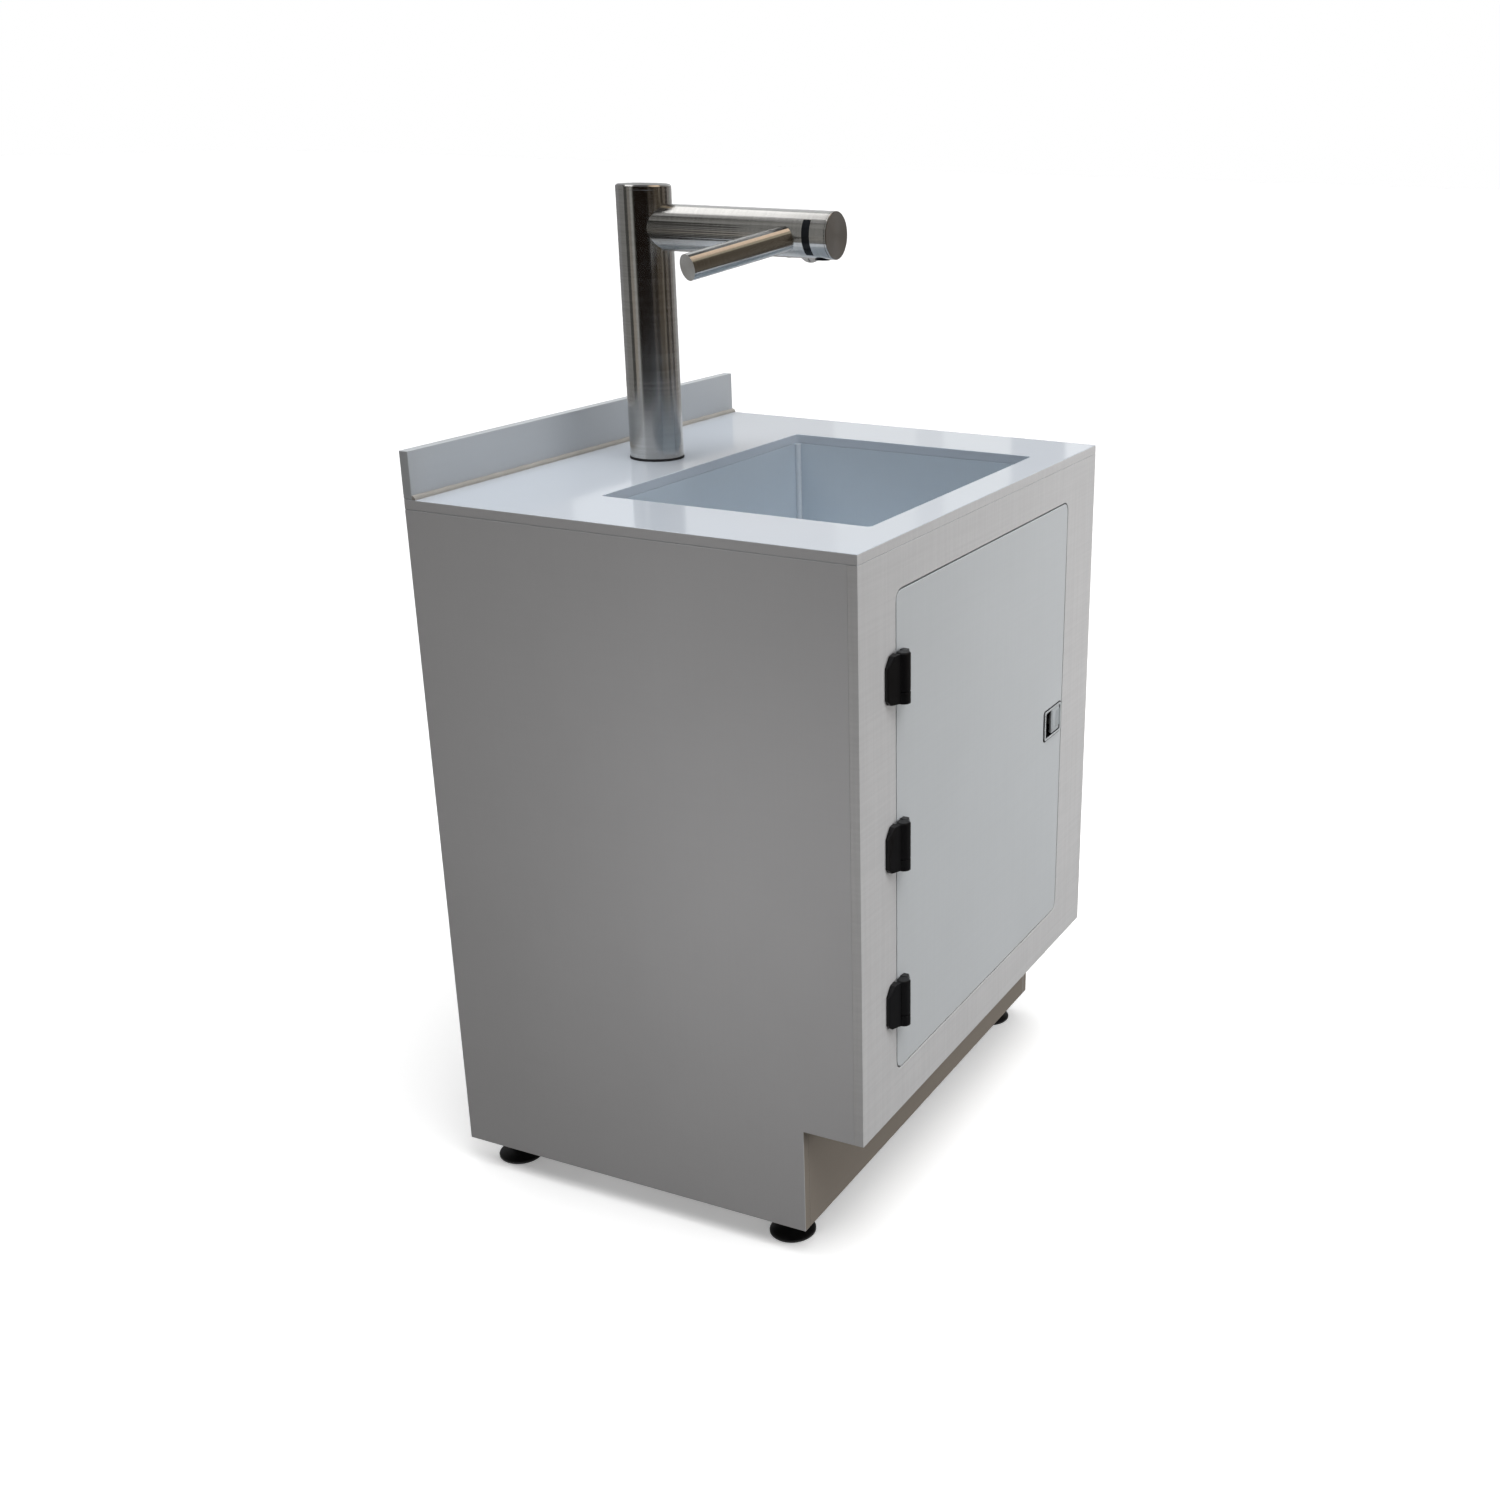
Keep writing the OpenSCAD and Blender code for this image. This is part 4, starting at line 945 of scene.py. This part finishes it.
def aerator_mesh():
    """Fine crossed bars inside the water outlet."""
    low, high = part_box("aerator")
    x, y, _ = middle(low, high)
    reach = AERATOR_BORE - 0.3 * MM
    for i in range(2 * BARS_EACH_SIDE + 1):
        off = (i - BARS_EACH_SIDE) * BAR_STEP
        half = math.sqrt(reach ** 2 - off ** 2)
        for k, (across, along) in enumerate((((off, 0), (0, half)), ((0, off), (half, 0)))):
            z = low.z + BARS_UP + k * BARS_APART
            centre = Vector((x + across[0], y + across[1], z))
            arm = Vector((along[0], along[1], 0))
            beside(rod("aerator_bar_%d_%d" % (k, i), centre - arm, centre + arm, BAR_R), "aerator")


# Stage, light, camera
def larger(tree, a, b):
    """The larger of two values."""
    node = tree.nodes.new("ShaderNodeMath")
    node.operation = "MAXIMUM"
    tree.links.new(a, node.inputs[0])
    tree.links.new(b, node.inputs[1])
    return node.outputs[0]


def light_paths(tree):
    """1 for rays from the camera, from a mirror or through glass, 0 for the others."""
    path = tree.nodes.new("ShaderNodeLightPath")
    seen = larger(tree, path.outputs["Is Camera Ray"], path.outputs["Is Glossy Ray"])
    return larger(tree, seen, path.outputs["Is Transmission Ray"])


def world():
    """White behind the object, also in mirrors and glass; its light on the object is AMBIENT."""
    scene_world = bpy.data.worlds.new("studio")
    bpy.context.scene.world = scene_world
    scene_world.use_nodes = True
    tree = scene_world.node_tree
    back = tree.nodes["Background"]
    strength = tree.nodes.new("ShaderNodeMix")
    strength.inputs[2].default_value = AMBIENT
    strength.inputs[3].default_value = 1.0
    tree.links.new(light_paths(tree), strength.inputs["Factor"])
    tree.links.new(strength.outputs[0], back.inputs["Strength"])
    back.inputs["Color"].default_value = (1, 1, 1, 1)


def floor():
    """Plain pale floor that reads white and keeps the object's shadow."""
    bm = bmesh.new()
    bmesh.ops.create_grid(bm, x_segments=1, y_segments=1, size=FLOOR_HALF)
    obj = mesh_object("studio_floor", bm)
    g = Graph("studio_floor")
    seen = light_paths(g.material.node_tree)
    g.link(g.blend(seen, FLOOR_BOUNCE, (FLOOR_SEEN, FLOOR_SEEN, FLOOR_SEEN, 1)), "Base Color")
    g.link(g.math("MULTIPLY", seen, FLOOR_GLOW), "Emission Strength")
    g.set({"Roughness": 1, "Specular IOR Level": 0, "Emission Color": (1, 1, 1, 1)})
    obj.data.materials.append(g.material)


def lamp(name, data, towards):
    """A lamp that shines back along a direction and that no mirror shows."""
    obj = bpy.data.objects.new(name, data)
    bpy.context.scene.collection.objects.link(obj)
    obj.rotation_euler = towards.to_track_quat("Z", "Y").to_euler()
    obj.visible_glossy = False
    return obj


def sun(name, azimuth, elevation, strength, spread):
    """A far lamp of a given width in degrees. Azimuth 0 is the front, positive towards the right."""
    data = bpy.data.lights.new(name, "SUN")
    data.energy = strength
    data.angle = math.radians(spread)
    a = math.radians(azimuth)
    e = math.radians(elevation)
    lamp(name, data, Vector((math.sin(a) * math.cos(e), -math.cos(a) * math.cos(e), math.sin(e))))


def soft_box(name, at, target, width, height, power):
    """A soft box that faces a point."""
    data = bpy.data.lights.new(name, "AREA")
    data.shape = "RECTANGLE"
    data.size = width
    data.size_y = height
    data.energy = power
    lamp(name, data, Vector(at) - Vector(target)).location = at


def mirror_card(name, bm, colour):
    """A panel of one even brightness that only mirrors see."""
    obj = mesh_object(name, bm)
    g = Graph(name)
    g.set({"Base Color": (0, 0, 0, 1), "Specular IOR Level": 0})
    g.set({"Emission Color": tuple(colour) + (1,), "Emission Strength": 1})
    obj.data.materials.append(g.material)
    obj.visible_camera = False
    obj.visible_diffuse = False
    obj.visible_shadow = False
    obj.visible_transmission = False


def card(name, start, stop, low, high, colour):
    """A curved upright card round the tap, from one azimuth and height to another."""
    bm = bmesh.new()
    steps = max(1, round((stop - start) / CARD_STEP))
    rows = []
    for i in range(steps + 1):
        a = math.radians(start + (stop - start) * i / steps)
        x = TAP_X + CARD_RADIUS * math.sin(a)
        y = TAP_Y - CARD_RADIUS * math.cos(a)
        rows.append([bm.verts.new((x, y, z)) for z in (low, high)])
    for (a_low, a_high), (b_low, b_high) in zip(rows, rows[1:]):
        bm.faces.new((a_low, b_low, b_high, a_high))
    mirror_card(name, bm, colour)


def flat_card(name, low, high, z, colour):
    """A level card between two corners at one height."""
    bm = bmesh.new()
    corners = ((low[0], low[1]), (high[0], low[1]), (high[0], high[1]), (low[0], high[1]))
    bm.faces.new([bm.verts.new((x, y, z)) for x, y in corners])
    mirror_card(name, bm, colour)


def camera():
    """The photograph's camera."""
    az, el, roll = (math.radians(v) for v in (CAMERA_AZIMUTH, CAMERA_ELEVATION, CAMERA_ROLL))
    back = Vector((math.sin(az) * math.cos(el), -math.cos(az) * math.cos(el), math.sin(el)))
    right = Vector((math.cos(az), math.sin(az), 0))
    down = -back.cross(right)
    turned_right = right * math.cos(roll) - down * math.sin(roll)
    turned_down = right * math.sin(roll) + down * math.cos(roll)
    data = bpy.data.cameras.new("camera")
    data.sensor_width = SENSOR_MM
    data.sensor_fit = "HORIZONTAL"
    data.lens = FOCAL_PIXELS / IMAGE_PIXELS * SENSOR_MM
    data.shift_x = -(CENTRE_PIXELS[0] - IMAGE_PIXELS / 2) / IMAGE_PIXELS
    data.shift_y = (CENTRE_PIXELS[1] - IMAGE_PIXELS / 2) / IMAGE_PIXELS
    data.clip_end = FARTHEST_SEEN
    obj = bpy.data.objects.new("camera", data)
    bpy.context.scene.collection.objects.link(obj)
    axes = Matrix((turned_right, -turned_down, back)).transposed().to_4x4()
    obj.matrix_world = Matrix.Translation(CAMERA_AT) @ axes
    bpy.context.scene.camera = obj


def lamps():
    """A key from the upper front, light from overhead and behind, and weak soft boxes close by."""
    sun("key", azimuth=-20, elevation=65, strength=1.41, spread=40)
    sun("overhead_wide", azimuth=0, elevation=90, strength=0.27, spread=100)
    sun("overhead", azimuth=0, elevation=90, strength=1.1, spread=60)
    sun("behind", azimuth=160, elevation=22, strength=0.6, spread=50)
    soft_box("front_low", (0.4, -2.2, 0.5), (0.1, 0, 0.5), width=1.2, height=0.6, power=12.6)
    soft_box("front_right", (0.9, -1.6, 0.9), (0.1, -0.3, 0.6), width=0.8, height=0.8, power=6.6)
    soft_box("side", (-0.85, -0.16, 0.5), (0, -0.16, 0.5), width=0.3, height=0.5, power=0.54)
    soft_box("above_left", (-0.3, 0.5, 1.9), (-0.05, 0.15, 0.9), width=0.7, height=0.7, power=3.4)


def mirrored_back_and_left():
    """What the tap mirrors of the room behind it and on its left, in degrees, metres and colours."""
    card("wall_back", 140, 180, 0, BACK_H, (0.26, 0.26, 0.265))
    card("wall_back_left", 180, 214, 0, BACK_H, (0.23, 0.23, 0.225))
    card("post_left", 214, 230, 0, ROOM_H, (0.07, 0.069, 0.065))
    card("wall_left_foot", 230, 244, 0, 0.5, (0.15, 0.15, 0.145))
    card("wall_left_low", 230, 244, 0.5, 1.05, (0.34, 0.31, 0.27))
    card("wall_left", 230, 244, 1.05, LEFT_H, (0.17, 0.17, 0.165))
    card("strip_left", 244, 254, 0, LEFT_H, (0.36, 0.36, 0.35))
    card("edge_left", 254, 259, 0, LEFT_H, (0.12, 0.12, 0.11))
    card("wall_left_high", 230, 259, LEFT_H, ROOM_H, (0.34, 0.34, 0.33))


def mirrored_front():
    """What the tap mirrors of the room in front of it: mostly dark, with shelves and a door."""
    card("curtain", 259, 319, 0, ROOM_H, (0.01, 0.007, 0.005))
    card("shelf_front", 319, 329, 0, ROOM_H, (0.055, 0.045, 0.035))
    card("door_front", 329, 344, 0, ROOM_H, (0.03, 0.022, 0.015))
    card("door_edge", 344, 364, 0, SHELF_H, (0.085, 0.07, 0.052))
    card("wall_front", 364, 374, 0, SHELF_H, (0.16, 0.14, 0.115))
    card("shelf_dark", 374, 385, 0, SHELF_H, (0.045, 0.038, 0.03))
    card("wall_front_high", 344, 385, SHELF_H, ROOM_H, (0.46, 0.41, 0.31))
    card("shelf_pale", 385, 400, 0, ROOM_H, (0.15, 0.13, 0.11))
    card("shelf_right", 400, 414, 0, ROOM_H, (0.07, 0.062, 0.055))


def mirrored_right():
    """What the tap mirrors of the room on its right: walls, and a window over a sill."""
    card("wall_right", 414, 432, 0, ROOM_H, (0.26, 0.245, 0.235))
    card("wall_right_far", 432, 452, 0, ROOM_H, (0.36, 0.36, 0.355))
    card("sill", 452, 500, 0, SILL_H, (0.4, 0.4, 0.4))
    card("window_edge", 452, 454, SILL_H, LINTEL_H, (1.0, 1.0, 1.0))
    card("window_frame", 454, 458, SILL_H, LINTEL_H, (0.5, 0.5, 0.51))
    card("window_a", 458, 463, SILL_H, LINTEL_H, (0.86, 0.86, 0.84))
    card("mullion", 463, 465, SILL_H, LINTEL_H, (0.64, 0.63, 0.62))
    card("window_middle", 465, 471, SILL_H, LINTEL_H, (0.8, 0.79, 0.77))
    card("window_b", 471, 478, SILL_H, LINTEL_H, (0.6, 0.58, 0.56))
    card("window_c", 478, 483, SILL_H, LINTEL_H, (0.56, 0.55, 0.54))
    card("wall_corner", 483, 490, SILL_H, LINTEL_H, (0.68, 0.69, 0.7))
    card("wall_corner_mid", 490, 494, SILL_H, LINTEL_H, (0.36, 0.36, 0.37))
    card("wall_corner_far", 494, 500, SILL_H, LINTEL_H, (0.06, 0.06, 0.06))
    card("wall_above", 452, 490, LINTEL_H, ROOM_H, (0.7, 0.72, 0.73))
    card("wall_above_far", 490, 500, LINTEL_H, BACK_H, (0.55, 0.56, 0.56))


def mirrored_ceiling_and_floor():
    """The lamp panel, the ceiling and the room's floor, as the tap mirrors them."""
    flat_card("lamp_panel", (-0.5, 1.1), (2, 2.2), ROOM_H, (1.75, 1.75, 1.75))
    flat_card("ceiling_left", (-1.6, 1.1), (-0.5, 2.2), ROOM_H, (0.45, 0.45, 0.45))
    flat_card("ceiling_warm", (0.2, -2.1), (1.5, -0.1), ROOM_H, (1.15, 0.9, 0.68))
    flat_card("ceiling", (-3, -3), (3, 3), ROOM_H + 0.05, (0.12, 0.12, 0.12))
    flat_card("room_floor", (-3, -3), (3, 3), 0.004, (0.16, 0.16, 0.16))


camera()
world()
floor()
lamps()
mirrored_back_and_left()
mirrored_front()
mirrored_right()
mirrored_ceiling_and_floor()

# Carried-over nodes take their slot's material; the ones below are replaced by finer forms
for name, obj in frame["nodes"].items():
    obj.data.materials.clear()
    obj.data.materials.append(MATERIALS[SLOTS[name]])

worktop_sheet()
front_frame_sheet()
door_sheet()
bezel_rim()
tap()
slider_form()
latch_spring_form()
basin_welds()
splash_bead()
keeper_screws()
sensor_strips()
aerator_mesh()
for corner in ("front_left", "front_right", "back_left", "back_right"):
    threaded_stem("foot_stem_" + corner)
    smoothed("foot_pad_" + corner)
for height in ("top", "middle", "bottom"):
    hinge_leaf("hinge_frame_leaf_" + height, -1)
    hinge_leaf("hinge_door_leaf_" + height, 1)
for sheet in ("back_panel", "base_panel", "toe_kick", "basin"):
    soften(sheet, SHEET_EDGE)
# The backsplash in its darker sheet colour: painted shade.
soften("backsplash", SHEET_EDGE).data.materials[0] = SPLASH_SHADED
for sheet in ("side_panel_left", "side_panel_right"):
    # The side panels' front-facing faces in the toe recess take the darker kick colour: painted shade.
    face_material(soften(sheet, SHEET_EDGE), MATERIALS["sheet_kick"], Vector((0, -1, 0)))
for part in ("latch_case", "latch_bolt", "latch_keeper", "foot_blocks", "foot_lock_nuts",
             "tap_clamp_plate", "tap_clamp_nut", "motor_bracket", "hose_nuts", "valve_body",
             "inlet_lock_nut", "valve_handle", "drain_nuts"):
    soften(part, PART_EDGE)
for part in ("motor_housing", "air_hose", "water_hose", "trap_bend", "waste_pipe", "drain_body",
             "drain_flange", "aerator", "tap_gasket", "tap_shank"):
    smoothed(part)

view_settings = bpy.context.scene.view_settings
view_settings.view_transform = "Standard"
